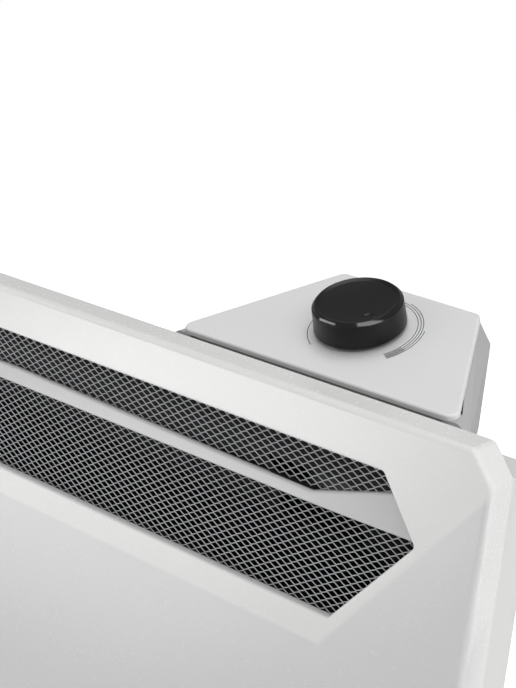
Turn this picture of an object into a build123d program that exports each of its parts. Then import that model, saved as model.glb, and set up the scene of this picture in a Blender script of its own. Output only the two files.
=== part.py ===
"""Wall convector heater: a pressed steel front with a wide six-sided air outlet, a slim casing
behind it with the heating element, and a wedge-shaped control unit on the rear right shoulder.

Millimetres, +Z up, X along the width, the front faces -Y.
The origin is the centre of the underside, halfway through the overall depth.
"""

import math
import os

from build123d import *

# Overall sizes
PANEL_WIDTH = 640.0
PANEL_HEIGHT = 413.0
OVERALL_DEPTH = 112.0

# Pressed front panel
PANEL_SHEET = 1.2
PANEL_FLANGE_DEPTH = 19.2
PANEL_LIP_WIDTH = 10.0
CORNER_CUT_WIDTH = 12.0
CORNER_CUT_HEIGHT = 15.0
CORNER_ROUNDING = 5.0
FRONT_EDGE_RADIUS = 3.2

# The flat neck round the outlet has creased edges, from which the lower face swells forwards
NECK_FOLD_DROP = 124.8
NECK_SIDE_DROP = 19.0
NECK_SLOPE = 52.0
PANEL_SWELL = 4.0
SWELL_ANGLE = 2.5

# Air outlet, measured from the panel's top and side edges
OUTLET_TOP_DROP = 25.3
OUTLET_HEIGHT = 83.8
OUTLET_TIP_DROP = 56.0
OUTLET_TIP_MARGIN = 35.5
OUTLET_UPPER_MARGIN = 57.4
OUTLET_LOWER_MARGIN = 79.1
OUTLET_CORNER_RADIUS = 2.5
OUTLET_RIM_DEPTH = 5.0

# Frame behind the outlet and the two expanded-metal grilles
FRAME_SHEET = 1.0
FRAME_FLANGE = 8.0
GRILLE_RECESS = 10.8
GRILLE_THICKNESS = 0.8
GRILLE_BORDER = 2.6
GRILLE_CLEARANCE = 0.2
GRILLE_CELL_WIDTH = 22.0
GRILLE_CELL_HEIGHT = 13.0
GRILLE_STRAND = 1.5

# Air blade across the outlet
BLADE_RECESS = 2.0
BLADE_THICKNESS = 1.2
BLADE_LOWER_DROP = 56.0
BLADE_MIDDLE_HEIGHT = 9.8
BLADE_NECK_HEIGHT = 6.6
BLADE_NECK_MARGIN = 98.7
BLADE_END_HEIGHT = 19.8
BLADE_END_MARGIN = 54.2
BLADE_POINT_MARGIN = 40.0
BLADE_LIP_RADIUS = 1.3
BLADE_END_CHAMFER_WIDTH = 2.4
BLADE_END_CHAMFER_HEIGHT = 1.4
CARRIER_HEIGHT = 6.0
CARRIER_END_GAP = 0.4

# Rear casing
CASING_SHEET = 1.0
CASING_SIDE_MARGIN = 20.0
CASING_TOP_DROP = 30.0
CASING_DEPTH = 59.5
CASING_FLANGE_WIDTH = 14.0
FLANGE_SETBACK = 2.0
CASING_UPSTAND = 22.0
INTAKE_SLOT_WIDTH = 9.0
INTAKE_SLOT_LENGTH = 42.0
INTAKE_SLOT_PITCH = 27.0
INTAKE_SLOT_COUNT = 14
VENT_SLOT_WIDTH = 7.0
VENT_SLOT_HEIGHT = 34.0
VENT_SLOT_PITCH = 30.0
VENT_SLOT_COUNT = 10
VENT_SLOT_Z = 96.0

# Mounting holes for legs or wheels under the casing
LEG_HOLE_RADIUS = 2.6
LEG_SIDE_MARGIN = 60.0
LEG_SPACING_Y = 32.0
LEG_NUT_RADIUS = 4.6
LEG_NUT_HEIGHT = 8.0

# Heating element, a finned aluminium extrusion on a sheathed rod
ELEMENT_END_GAP = 42.0
ELEMENT_Z = 112.0
ELEMENT_WEB_HEIGHT = 62.0
ELEMENT_WEB_THICKNESS = 2.4
ELEMENT_TUBE_RADIUS = 8.0
ELEMENT_FIN_COUNT = 7
ELEMENT_FIN_PITCH = 8.0
ELEMENT_FIN_THICKNESS = 1.6
ELEMENT_FIN_REACH = 18.0
ROD_RADIUS = 4.2
ROD_OVERHANG = 26.0
ROD_PIN_RADIUS = 1.6
ROD_PIN_LENGTH = 11.0
BUSH_RADIUS = 8.4
BUSH_COLLAR_RADIUS = 11.0
BUSH_LENGTH = 12.0
BUSH_COLLAR_LENGTH = 3.0
BRACKET_SHEET = 1.5
BRACKET_HEIGHT = 64.0
BRACKET_FOOT = 15.0
BRACKET_REACH = 46.0
BRACKET_STANDOFF = 10.0

# Bent sheet that turns the warm air forwards
GUIDE_END_GAP = 22.0
GUIDE_LOWER_Z = 176.0
GUIDE_BEND_DROP = 121.0
GUIDE_FRONT_GAP = 4.0

# Overheat cut-out on its own shelf
CUTOUT_BRACKET_GAP = 20.0
CUTOUT_SHELF_Z = 166.0
CUTOUT_SHELF_WIDTH = 34.0
CUTOUT_SHELF_REACH = 40.0
CUTOUT_RADIUS = 8.0
CUTOUT_HEIGHT = 9.0

# Fasteners
SCREW_HEAD_RADIUS = 3.5
SCREW_HEAD_HEIGHT = 2.2
SCREW_SHANK_RADIUS = 1.7
SCREW_HOLE_CLEARANCE = 0.15

# Wall bracket and spacers
BRACKET_HOUSING_GAP = 4.7
BRACKET_FRAME_HEIGHT = 200.0
BRACKET_TOP_DROP = 33.0
BRACKET_BAR = 30.0
BRACKET_STEEL = 1.5
BRACKET_HOLE_RADIUS = 3.0
BRACKET_HOLE_SIDE_MARGIN = 20.0
BRACKET_HOLE_TOP_MARGIN = 15.0
HOOK_WIDTH = 14.0
HOOK_RISE = 6.0
SPACER_X = 230.0
SPACER_Z = 44.0
SPACER_RADIUS = 9.0
SPACER_FLANGE_RADIUS = 15.0
SPACER_FLANGE_HEIGHT = 3.0

# Control unit: the top plate leans towards the user, its outline is measured from the knob's axis
KNOB_SIDE_MARGIN = 123.3
KNOB_FRONT_DISTANCE = 64.2
KNOB_RISE = 17.2
PLATE_LEAN = 21.5
PLATE_THICKNESS = 3.2
PLATE_FRONT_LEFT = 91.2
PLATE_FRONT_RIGHT = 87.4
PLATE_FRONT_REACH = 43.2
PLATE_REAR_LEFT = 41.4
PLATE_REAR_RIGHT = 48.2
PLATE_REAR_REACH_LEFT = 40.9
PLATE_REAR_REACH_RIGHT = 37.9
PLATE_CORNER_RADIUS = 5.0
PLATE_EDGE_RADIUS = 1.3
PLATE_OVERHANG = 0.8

# Housing below the plate
HOUSING_WALL = 2.4
HOUSING_FLARE = 7.0
HOUSING_REAR_FLARE = 3.0
HOUSING_FRONT_SHOULDER = 7.4
HOUSING_REAR_SHOULDER = 15.0
HOUSING_RECESS_DEPTH = 5.0
HOUSING_EAR_WIDTH = 8.5
LEG_BLOCK_WIDTH = 92.0
LEG_BLOCK_DEPTH = 22.0
LEG_BLOCK_DROP = 84.0
FOOT_PLATE_WIDTH = 124.0
FOOT_PLATE_HEIGHT = 14.0
FOOT_PLATE_THICKNESS = 3.0

# Knob and thermostat, on the plate's own axis
KNOB_GAP = 2.2
KNOB_BASE_RADIUS = 24.3
KNOB_SHOULDER_RADIUS = 23.9
KNOB_HEIGHT = 14.6
KNOB_CHAMFER = 1.8
KNOB_DISH_DEPTH = 0.9
KNOB_DISH_FLAT = 0.9
KNOB_SKIRT_WALL = 2.0
KNOB_TOP_WALL = 2.6
KNOB_BOSS_RADIUS = 5.6
DIMPLE_RADIUS = 3.0
DIMPLE_DEPTH = 0.7
DIMPLE_ORBIT = 16.0
DIMPLE_ANGLE = -34.0
SPINDLE_RADIUS = 3.0
SPINDLE_FLAT = 1.0
SPINDLE_ABOVE_PLATE = 11.0
SPINDLE_CLEARANCE = 0.05
PLATE_HOLE_RADIUS = 4.0
THERMOSTAT_BRACKET_DROP = 6.0
THERMOSTAT_BRACKET_LENGTH = 62.0
THERMOSTAT_BRACKET_WIDTH = 32.0
THERMOSTAT_BRACKET_SHEET = 1.5
THERMOSTAT_POST_SPACING = 50.0
THERMOSTAT_POST_RADIUS = 3.6
THERMOSTAT_BODY_LENGTH = 30.0
THERMOSTAT_BODY_WIDTH = 27.0
THERMOSTAT_BODY_HEIGHT = 16.0
THERMOSTAT_BUSH_RADIUS = 4.9
THERMOSTAT_BUSH_HEIGHT = 5.0
THERMOSTAT_NUT_ACROSS = 13.0
THERMOSTAT_NUT_HEIGHT = 2.6
SPINDLE_DEPTH_IN_BODY = 10.0

# Electrical pieces
SOCKET_WIDTH = 40.0
SOCKET_HEIGHT = 22.0
SOCKET_DEPTH = 18.0
SOCKET_WALL = 2.5
SOCKET_FLANGE = 5.0
SOCKET_DROP = 43.0
PLUG_CLEARANCE = 0.8
PLUG_DEPTH = 14.0
CONTACT_RADIUS = 1.5
CONTACT_LENGTH = 3.0
CONTACT_PITCH = 10.0
BLOCK_LENGTH = 36.0
BLOCK_WIDTH = 18.0
BLOCK_HEIGHT = 13.0
BLOCK_POLES = 3
TIP_SWITCH_LENGTH = 22.0
TIP_SWITCH_WIDTH = 16.0
TIP_SWITCH_HEIGHT = 18.0
GLAND_RADIUS = 6.5
GLAND_BORE_RADIUS = 4.0
GLAND_LENGTH = 9.0
GLAND_FLANGE_RADIUS = 9.0
GLAND_FLANGE_HEIGHT = 2.5

# Places worked out from the sizes above
FRONT_Y = -OVERALL_DEPTH / 2
NECK_Y = FRONT_Y + PANEL_SWELL
WALL_Y = OVERALL_DEPTH / 2
FLANGE_Y = NECK_Y + PANEL_FLANGE_DEPTH
CASING_FRONT_Y = FLANGE_Y + CASING_SHEET
CASING_BACK_Y = CASING_FRONT_Y + CASING_DEPTH
CASING_INNER_Y = CASING_BACK_Y - CASING_SHEET
CASING_MIDDLE_Y = (CASING_FRONT_Y + CASING_BACK_Y) / 2
CASING_WIDTH = PANEL_WIDTH - 2 * CASING_SIDE_MARGIN
CASING_HEIGHT = PANEL_HEIGHT - CASING_TOP_DROP
LEG_SPACING_X = CASING_WIDTH - 2 * LEG_SIDE_MARGIN
GUIDE_LENGTH = CASING_WIDTH - 2 * GUIDE_END_GAP
GUIDE_BEND_Z = CASING_HEIGHT - GUIDE_BEND_DROP
SOCKET_Z = CASING_HEIGHT - SOCKET_DROP
FOLD_Z = PANEL_HEIGHT - NECK_FOLD_DROP
ELEMENT_LENGTH = CASING_WIDTH - 2 * ELEMENT_END_GAP
ELEMENT_Y = CASING_MIDDLE_Y
BRACKET_X = ELEMENT_LENGTH / 2 + BRACKET_STANDOFF
KNOB_X = PANEL_WIDTH / 2 - KNOB_SIDE_MARGIN
KNOB_Y = NECK_Y + KNOB_FRONT_DISTANCE
KNOB_Z = PANEL_HEIGHT + KNOB_RISE
LEAN = math.radians(PLATE_LEAN)
BRACKET_FRAME_WIDTH = 2 * (KNOB_X - FOOT_PLATE_WIDTH / 2 - BRACKET_HOUSING_GAP)
BRACKET_FRAME_Z = CASING_HEIGHT - BRACKET_TOP_DROP - BRACKET_FRAME_HEIGHT
BRACKET_HOLE_SPACING_X = BRACKET_FRAME_WIDTH - 2 * BRACKET_HOLE_SIDE_MARGIN
BRACKET_HOLE_SPACING_Z = BRACKET_FRAME_HEIGHT - 2 * BRACKET_HOLE_TOP_MARGIN
CUTOUT_X = -BRACKET_FRAME_WIDTH / 2 - CUTOUT_BRACKET_GAP

NECK_PLANE = Plane(origin=(0, NECK_Y, FOLD_Z), x_dir=(1, 0, 0), z_dir=(0, -1, 0))
PLATE_PLANE = Plane(
    origin=(KNOB_X, KNOB_Y, KNOB_Z),
    x_dir=(1, 0, 0),
    z_dir=(0, -math.sin(LEAN), math.cos(LEAN)),
)


def slab(sketch, y_near, y_far):
    """Thickens a sketch drawn in X and Z between two depths."""
    return extrude(Plane.XZ.offset(-y_near) * sketch, amount=y_far - y_near, dir=(0, 1, 0))


def bar(points, x_low, x_high):
    """Extrudes an outline given in Y and Z along X."""
    face = Plane.YZ.offset(x_low) * make_face(Polyline(*points, close=True))
    return extrude(face, amount=x_high - x_low, dir=(1, 0, 0))


def block(low, high):
    """A box between two opposite corners."""
    size = [b - a for a, b in zip(low, high)]
    centre = [(a + b) / 2 for a, b in zip(low, high)]
    return Pos(*centre) * Box(*size)


def rod(start, direction, radius, length):
    """A round bar from a point along a direction."""
    plane = Plane(origin=start, z_dir=direction)
    return plane * Cylinder(radius, length, align=(Align.CENTER, Align.CENTER, Align.MIN))


def polygon(points):
    """A flat face with the given corners."""
    return make_face(Polyline(*points, close=True))


def rounded_polygon(points, radius):
    """A flat face with every corner rounded alike."""
    face = Sketch() + polygon(points)
    return fillet(face.vertices(), radius)


def mirrored_outline(right_half):
    """Completes an outline whose right half is listed from the bottom upwards."""
    return right_half + [(-x, y) for x, y in reversed(right_half)]


# Front panel


def panel_outline(inset):
    """The front view of the panel with its cut corners, drawn smaller by an inset."""
    side = PANEL_WIDTH / 2
    right_half = [
        (side - CORNER_CUT_WIDTH, 0),
        (side, CORNER_CUT_HEIGHT),
        (side, PANEL_HEIGHT - CORNER_CUT_HEIGHT),
        (side - CORNER_CUT_WIDTH, PANEL_HEIGHT),
    ]
    face = rounded_polygon(mirrored_outline(right_half), CORNER_ROUNDING)
    return offset(face, -inset) if inset else face


def neck_outline(grow):
    """The neck's outline in X and Z, running off above the panel, made wider by a distance."""
    spare = 30.0
    slope = math.tan(math.radians(NECK_SLOPE))
    low = (PANEL_WIDTH / 2 - (NECK_FOLD_DROP - NECK_SIDE_DROP) / slope, FOLD_Z)
    high = (PANEL_WIDTH / 2 + (NECK_SIDE_DROP + spare) / slope, PANEL_HEIGHT + spare)
    return grown(mirrored_outline([low, high]), grow)


def space_before_neck(inset):
    """The shallow funnel in front of the neck, widening forwards from its creases."""
    depth = PANEL_SWELL + 1
    growth = depth / math.tan(math.radians(SWELL_ANGLE))
    back = [Vector(x, NECK_Y + inset, z) for x, z in neck_outline(0.0)]
    front = [Vector(x, NECK_Y + inset - depth, z) for x, z in neck_outline(growth)]
    faces = [polygon_face(back), polygon_face(front)]
    for k in range(len(back)):
        after = (k + 1) % len(back)
        faces.append(polygon_face([back[k], back[after], front[after], front[k]]))
    return Solid(Shell(faces))


def flat_form(inset, radius, near):
    """The panel's volume with a flat front and a rounded rim."""
    form = slab(panel_outline(inset), near, FLANGE_Y)
    front = form.faces().sort_by(Axis.Y)[0]
    return fillet(front.edges(), radius)


def rim_cutter(corner, along, front_normal, radius, length):
    """Rounds the straight rim between a front face and the right flange, as a solid to take away."""
    side_normal = Vector(1, 0, 0)
    into_front = front_normal.cross(along).normalized()
    if into_front.X > 0:
        into_front = into_front * -1
    into_side = Vector(0, 1, 0) - along * along.Y
    into_side = into_side.normalized()
    half_angle = math.acos(into_front.dot(into_side)) / 2
    reach = radius / math.tan(half_angle)
    on_front = corner + into_front * reach
    on_side = corner + into_side * reach
    middle_way = (into_front + into_side).normalized()
    centre = corner + middle_way * (radius / math.sin(half_angle))
    bulge = centre - middle_way * radius
    outer = [on_side, on_side + side_normal, corner + side_normal + front_normal]
    outer += [on_front + front_normal, on_front]
    edges = [Line(outer[k], outer[k + 1]) for k in range(len(outer) - 1)]
    edges.append(ThreePointArc(on_front, bulge, on_side))
    section = Face(Wire(edges))
    return Solid.extrude(section, along * length)


def pressed_form(inset, radius):
    """The volume under the panel's skin: flat neck, swelling lower face, rounded rim."""
    near = FRONT_Y + inset
    side = PANEL_WIDTH / 2 - inset
    slope = math.radians(NECK_SLOPE)
    swell = math.tan(math.radians(SWELL_ANGLE))
    crease_z = PANEL_HEIGHT - NECK_SIDE_DROP - inset * math.tan(slope)
    end_z = crease_z - PANEL_SWELL / swell / math.cos(slope)
    flat_z = FOLD_Z - PANEL_SWELL / swell
    wide = PANEL_WIDTH
    top = flat_form(inset, radius, NECK_Y + inset)
    top &= block((-wide, FRONT_Y - 1, crease_z), (wide, FLANGE_Y, PANEL_HEIGHT + 1))
    bottom = flat_form(inset, radius, near)
    bottom &= block((-wide, FRONT_Y - 1, -1), (wide, FLANGE_Y, flat_z))
    middle = block((-side, near, flat_z), (side, FLANGE_Y, crease_z)) - space_before_neck(inset)
    flat_rim = rim_cutter(
        Vector(side, near, flat_z - 10), Vector(0, 0, 1), Vector(0, -1, 0), radius, end_z - flat_z + 20
    )
    normal = Vector(-math.sin(slope) * swell, -1, math.cos(slope) * swell).normalized()
    along = Vector(0, PANEL_SWELL, crease_z - end_z).normalized()
    start = Vector(side, near, end_z) - along * 10
    wing_rim = rim_cutter(start, along, normal, radius, (crease_z - end_z) * 1.01 + 20)
    for rim in (flat_rim, wing_rim):
        middle = middle - rim - mirror(rim, Plane.YZ)
    return top + middle + bottom


def outlet_points():
    """The six corners of the outlet on the neck, anticlockwise from the lower right."""
    half = PANEL_WIDTH / 2
    low = NECK_FOLD_DROP - OUTLET_TOP_DROP - OUTLET_HEIGHT
    tip = NECK_FOLD_DROP - OUTLET_TIP_DROP
    high = NECK_FOLD_DROP - OUTLET_TOP_DROP
    right_half = [
        (half - OUTLET_LOWER_MARGIN, low),
        (half - OUTLET_TIP_MARGIN, tip),
        (half - OUTLET_UPPER_MARGIN, high),
    ]
    return mirrored_outline(right_half)


def grown(corners, distance):
    """An anticlockwise outline moved outwards by a distance, its corners kept sharp."""
    moved = []
    count = len(corners)
    for k in range(count):
        before, here, after = (Vector(*corners[(k + step) % count]) for step in (-1, 0, 1))
        first = (here - before).normalized()
        second = (after - here).normalized()
        turn = (first + second).normalized()
        outwards = Vector(turn.Y, -turn.X)
        reach = distance / outwards.dot(Vector(first.Y, -first.X))
        moved.append((here.X + outwards.X * reach, here.Y + outwards.Y * reach))
    return moved


def outlet_face(grow=0.0):
    """The outlet's outline, made wider by an offset."""
    face = rounded_polygon(outlet_points(), OUTLET_CORNER_RADIUS)
    return offset(face, grow) if grow else face


def outlet_prism(grow, near, far):
    """The outlet's outline as a solid between two depths behind the neck."""
    return Pos(0, 0, -far) * extrude(outlet_face(grow), amount=far - near)


def casing_screw_places():
    """Screws round the casing's flange, each as X and Z."""
    side_x = CASING_WIDTH / 2 + CASING_FLANGE_WIDTH / 2
    top_z = CASING_HEIGHT + CASING_UPSTAND / 2 + 2
    places = [(x, top_z) for x in (-PANEL_WIDTH / 3, 0.0)]
    for z in (CASING_HEIGHT * 0.1, CASING_HEIGHT / 2, CASING_HEIGHT * 0.9):
        places += [(-side_x, z), (side_x, z)]
    return places


def make_front_panel():
    """Pressed sheet with its flange, rear lip and the outlet's turned-in rim."""
    shell = pressed_form(0.0, FRONT_EDGE_RADIUS)
    hollow = pressed_form(PANEL_SHEET, FRONT_EDGE_RADIUS - PANEL_SHEET)
    lip_y = FLANGE_Y - PANEL_SHEET
    hollow -= block((-PANEL_WIDTH, lip_y, -1), (PANEL_WIDTH, WALL_Y, PANEL_HEIGHT + 1))
    shell -= hollow
    shell -= slab(panel_outline(PANEL_LIP_WIDTH), lip_y - 1, FLANGE_Y + 1)
    rim = outlet_prism(PANEL_SHEET, PANEL_SHEET / 2, OUTLET_RIM_DEPTH)
    shell += NECK_PLANE * rim
    shell -= NECK_PLANE * outlet_prism(0.0, -PANEL_SHEET, OUTLET_RIM_DEPTH + 1)
    for x, z in casing_screw_places():
        shell -= rod((x, lip_y - 1, z), (0, 1, 0), SCREW_SHANK_RADIUS, PANEL_SHEET + 2)
    return shell


# Pieces in the outlet


def make_outlet_frame():
    """Black tray frame: a flange against the panel's back and a wall round the grilles."""
    far = GRILLE_RECESS + GRILLE_THICKNESS
    inner = PANEL_SHEET
    outer = PANEL_SHEET + FRAME_SHEET
    flange = outlet_prism(inner + FRAME_FLANGE, PANEL_SHEET, PANEL_SHEET + FRAME_SHEET)
    wall = outlet_prism(outer, PANEL_SHEET, far)
    frame = flange + wall - outlet_prism(inner, 0.0, far + 1)
    return NECK_PLANE * frame


def inside(point, corners):
    """Whether a point lies within a convex outline listed anticlockwise."""
    x, y = point
    for (x0, y0), (x1, y1) in zip(corners, corners[1:] + corners[:1]):
        if (x1 - x0) * (y - y0) - (y1 - y0) * (x - x0) < 0:
            return False
    return True


def split_line():
    """Height of the carrier's centre above the fold line, where the two grilles meet."""
    return NECK_FOLD_DROP - BLADE_LOWER_DROP + CARRIER_HEIGHT / 2 + 1


def clipped(corners, level, keep_above):
    """The part of an outline above or below a level."""
    kept = []
    sign = 1 if keep_above else -1
    for (x0, y0), (x1, y1) in zip(corners, corners[1:] + corners[:1]):
        if sign * (y0 - level) >= 0:
            kept.append((x0, y0))
        if (y0 - level) * (y1 - level) < 0:
            share = (level - y0) / (y1 - y0)
            kept.append((x0 + share * (x1 - x0), level))
    return kept


def diamond(x, y, half_width, half_height):
    """Corners of one opening of the expanded metal."""
    return [(x + half_width, y), (x, y + half_height), (x - half_width, y), (x, y - half_height)]


def make_grille(keep_above):
    """One sheet of expanded metal, a single face with all its diamond openings."""
    level = split_line()
    outline = clipped(grown(outlet_points(), PANEL_SHEET - GRILLE_CLEARANCE), level, keep_above)
    field = clipped(grown(outlet_points(), PANEL_SHEET - GRILLE_BORDER), level, keep_above)
    shift = GRILLE_BORDER if keep_above else -GRILLE_BORDER
    field = clipped(field, level + shift, keep_above)
    half_width = GRILLE_CELL_WIDTH / 2 - GRILLE_STRAND
    half_height = GRILLE_CELL_HEIGHT / 2 - GRILLE_STRAND * GRILLE_CELL_HEIGHT / GRILLE_CELL_WIDTH
    bottom = min(y for _, y in field)
    top = max(y for _, y in field)
    rows = math.ceil(2 * (top - bottom) / GRILLE_CELL_HEIGHT)
    columns = math.ceil(PANEL_WIDTH / GRILLE_CELL_WIDTH / 2)
    holes = []
    for row in range(rows + 1):
        y = bottom + half_height + row * GRILLE_CELL_HEIGHT / 2
        stagger = GRILLE_CELL_WIDTH / 2 if row % 2 else 0.0
        for column in range(-columns, columns + 1):
            corners = diamond(column * GRILLE_CELL_WIDTH + stagger, y, half_width, half_height)
            if all(inside(corner, field) for corner in corners):
                holes.append(Wire.make_polygon([(px, py, 0) for px, py in corners]))
    corner = OUTLET_CORNER_RADIUS + PANEL_SHEET - GRILLE_CLEARANCE
    edge = rounded_polygon(outline, corner).face().outer_wire()
    sheet = extrude(Face(edge, holes), amount=GRILLE_THICKNESS, dir=(0, 0, -1))
    return NECK_PLANE * (Pos(0, 0, -GRILLE_RECESS) * sheet)


def blade_points():
    """The blade's front outline on the neck, narrow in the middle and flared at both ends."""
    half = PANEL_WIDTH / 2
    low = NECK_FOLD_DROP - BLADE_LOWER_DROP
    return [
        (half - BLADE_POINT_MARGIN, low),
        (
            half - BLADE_END_MARGIN + BLADE_END_CHAMFER_WIDTH,
            low + BLADE_END_HEIGHT - BLADE_END_CHAMFER_HEIGHT,
        ),
        (half - BLADE_END_MARGIN, low + BLADE_END_HEIGHT),
        (half - BLADE_NECK_MARGIN, low + BLADE_NECK_HEIGHT),
        (0, low + BLADE_MIDDLE_HEIGHT),
    ]


def make_outlet_blade():
    """White strip with a rolled upper lip."""
    right_half = blade_points()
    outline = right_half[:-1] + [right_half[-1]] + [(-x, y) for x, y in reversed(right_half[:-1])]
    strip = Pos(0, 0, -BLADE_RECESS - BLADE_THICKNESS) * extrude(polygon(outline), amount=BLADE_THICKNESS)
    depth = -BLADE_RECESS - BLADE_LIP_RADIUS
    lip_right = [(x, y - BLADE_LIP_RADIUS / 2) for x, y in right_half[2:]]
    lip_points = lip_right + [(-x, y) for x, y in reversed(lip_right[:-1])]
    for (x0, y0), (x1, y1) in zip(lip_points, lip_points[1:]):
        length = math.hypot(x1 - x0, y1 - y0)
        strip += rod((x0, y0, depth), (x1 - x0, y1 - y0, 0), BLADE_LIP_RADIUS, length)
    for x, y in lip_points:
        strip += Pos(x, y, depth) * Sphere(BLADE_LIP_RADIUS)
    return NECK_PLANE * strip


def make_blade_carrier():
    """Black bar behind the blade, tip to tip, that holds the blade and both grille edges."""
    level = split_line()
    near = BLADE_RECESS + BLADE_THICKNESS
    middle = 2 * BLADE_LIP_RADIUS + BLADE_RECESS
    low = level - CARRIER_HEIGHT / 2
    high = level + CARRIER_HEIGHT / 2
    strip = clipped(clipped(grown(outlet_points(), -CARRIER_END_GAP), low, True), high, False)
    web = Pos(0, 0, -GRILLE_RECESS) * extrude(polygon(strip), amount=GRILLE_RECESS - middle)
    half = PANEL_WIDTH / 2 - BLADE_NECK_MARGIN
    pad_high = min(high, NECK_FOLD_DROP - BLADE_LOWER_DROP + BLADE_NECK_HEIGHT - 2 * BLADE_LIP_RADIUS)
    for side in (-1, 0, 1):
        pad = block(
            (side * half - 12, low, -middle - 0.5),
            (side * half + 12, pad_high, -near),
        )
        web += pad
    return NECK_PLANE * web


# Rear casing and what is in it


def make_rear_casing():
    """Folded tray, open to the front, with its flange, air slots and fixing holes."""
    half = CASING_WIDTH / 2
    tray = block((-half, FLANGE_Y, 0), (half, CASING_BACK_Y, CASING_HEIGHT))
    flange_half = half + CASING_FLANGE_WIDTH
    flange = block((-flange_half, FLANGE_Y, 0), (flange_half, CASING_FRONT_Y, CASING_HEIGHT))
    tray += flange & slab(panel_outline(FLANGE_SETBACK), FLANGE_Y, CASING_FRONT_Y)
    upstand_half = PANEL_WIDTH / 2 - CORNER_CUT_WIDTH - CORNER_ROUNDING
    tray += block(
        (-upstand_half, FLANGE_Y, CASING_HEIGHT - CASING_SHEET),
        (upstand_half, CASING_FRONT_Y, CASING_HEIGHT + CASING_UPSTAND),
    )
    tray -= block(
        (-half + CASING_SHEET, FLANGE_Y - 1, CASING_SHEET),
        (half - CASING_SHEET, CASING_INNER_Y, CASING_HEIGHT - CASING_SHEET),
    )
    tray -= intake_slots()
    tray -= vent_slots()
    for x, y in leg_places():
        tray -= rod((x, y, -1), (0, 0, 1), LEG_HOLE_RADIUS, CASING_SHEET + 2)
    for x, z in casing_screw_places():
        tray -= rod(
            (x, FLANGE_Y - 1, z), (0, 1, 0), SCREW_SHANK_RADIUS + SCREW_HOLE_CLEARANCE, CASING_SHEET + 2
        )
    width = SOCKET_WIDTH - 2 * SOCKET_WALL
    height = SOCKET_HEIGHT - 2 * SOCKET_WALL
    tray -= Pos(KNOB_X, CASING_INNER_Y + CASING_SHEET / 2, SOCKET_Z) * Box(width, CASING_SHEET + 2, height)
    for x, z in foot_screw_places() + element_screw_places():
        tray -= rod((x, CASING_INNER_Y - 1, z), (0, 1, 0), SCREW_SHANK_RADIUS, CASING_SHEET + 2)
    for side in (-1, 1):
        x = side * (BRACKET_FRAME_WIDTH - BRACKET_STEEL) / 2
        for z in hook_heights():
            slot = Box(BRACKET_STEEL + 1, CASING_SHEET + 2, HOOK_WIDTH + HOOK_RISE + 2)
            tray -= Pos(x, CASING_BACK_Y - CASING_SHEET / 2, z + HOOK_RISE / 2) * slot
    return tray


def intake_slots():
    """Row of slots in the underside where cool air enters."""
    slot = Rot(0, 0, 90) * SlotOverall(INTAKE_SLOT_LENGTH, INTAKE_SLOT_WIDTH)
    cutter = extrude(slot, amount=CASING_SHEET + 2)
    row = GridLocations(INTAKE_SLOT_PITCH, 1, INTAKE_SLOT_COUNT, 1)
    return [Pos(0, CASING_MIDDLE_Y, -1) * place * cutter for place in row]


def vent_slots():
    """Row of slots low in the back."""
    slot = Rot(0, 0, 90) * SlotOverall(VENT_SLOT_HEIGHT, VENT_SLOT_WIDTH)
    cutter = slab(slot, CASING_INNER_Y - 1, CASING_BACK_Y + 1)
    first = -(VENT_SLOT_COUNT - 1) / 2 * VENT_SLOT_PITCH
    return [Pos(first + k * VENT_SLOT_PITCH, 0, VENT_SLOT_Z) * cutter for k in range(VENT_SLOT_COUNT)]


def leg_places():
    """Centres of the four leg holes."""
    return [
        (sx * LEG_SPACING_X / 2, CASING_MIDDLE_Y + sy * LEG_SPACING_Y / 2)
        for sx in (-1, 1)
        for sy in (-1, 1)
    ]


def make_leg_nuts():
    """Round insert nuts on the casing's floor, one over each leg hole."""
    nut = Cylinder(LEG_NUT_RADIUS, LEG_NUT_HEIGHT, align=(Align.CENTER, Align.CENTER, Align.MIN))
    nut -= Cylinder(LEG_HOLE_RADIUS, LEG_NUT_HEIGHT, align=(Align.CENTER, Align.CENTER, Align.MIN))
    return [Pos(x, y, CASING_SHEET) * nut for x, y in leg_places()]


def make_casing_screws():
    """Hexagon-head screws that hold the casing's flange to the panel's lip."""
    return [screw((x, CASING_FRONT_Y, z), (0, 1, 0), CASING_SHEET + PANEL_SHEET) for x, z in casing_screw_places()]


def screw(seat, direction, grip):
    """A hexagon-head screw whose head sits on a seat and whose shank runs back through the grip."""
    plane = Plane(origin=seat, z_dir=direction)
    head = extrude(RegularPolygon(SCREW_HEAD_RADIUS, 6), amount=SCREW_HEAD_HEIGHT)
    shank = Cylinder(SCREW_SHANK_RADIUS, grip, align=(Align.CENTER, Align.CENTER, Align.MAX))
    return plane * (head + shank)


def make_heating_element():
    """Aluminium extrusion: a tube on an upright web, with short fins on both sides."""
    half_web = ELEMENT_WEB_HEIGHT / 2
    section = Sketch() + Rectangle(ELEMENT_WEB_THICKNESS, ELEMENT_WEB_HEIGHT) + Circle(ELEMENT_TUBE_RADIUS)
    middle = (ELEMENT_FIN_COUNT - 1) / 2
    for k in range(ELEMENT_FIN_COUNT):
        height = (k - middle) * ELEMENT_FIN_PITCH
        reach = ELEMENT_FIN_REACH * (1 - 0.35 * abs(height) / half_web)
        section += Pos(0, height) * Rectangle(2 * reach, ELEMENT_FIN_THICKNESS)
    section -= Circle(ROD_RADIUS)
    face = Plane.YZ * (Pos(ELEMENT_Y, ELEMENT_Z) * section)
    return extrude(Pos(-ELEMENT_LENGTH / 2, 0, 0) * face, amount=ELEMENT_LENGTH, dir=(1, 0, 0))


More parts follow.
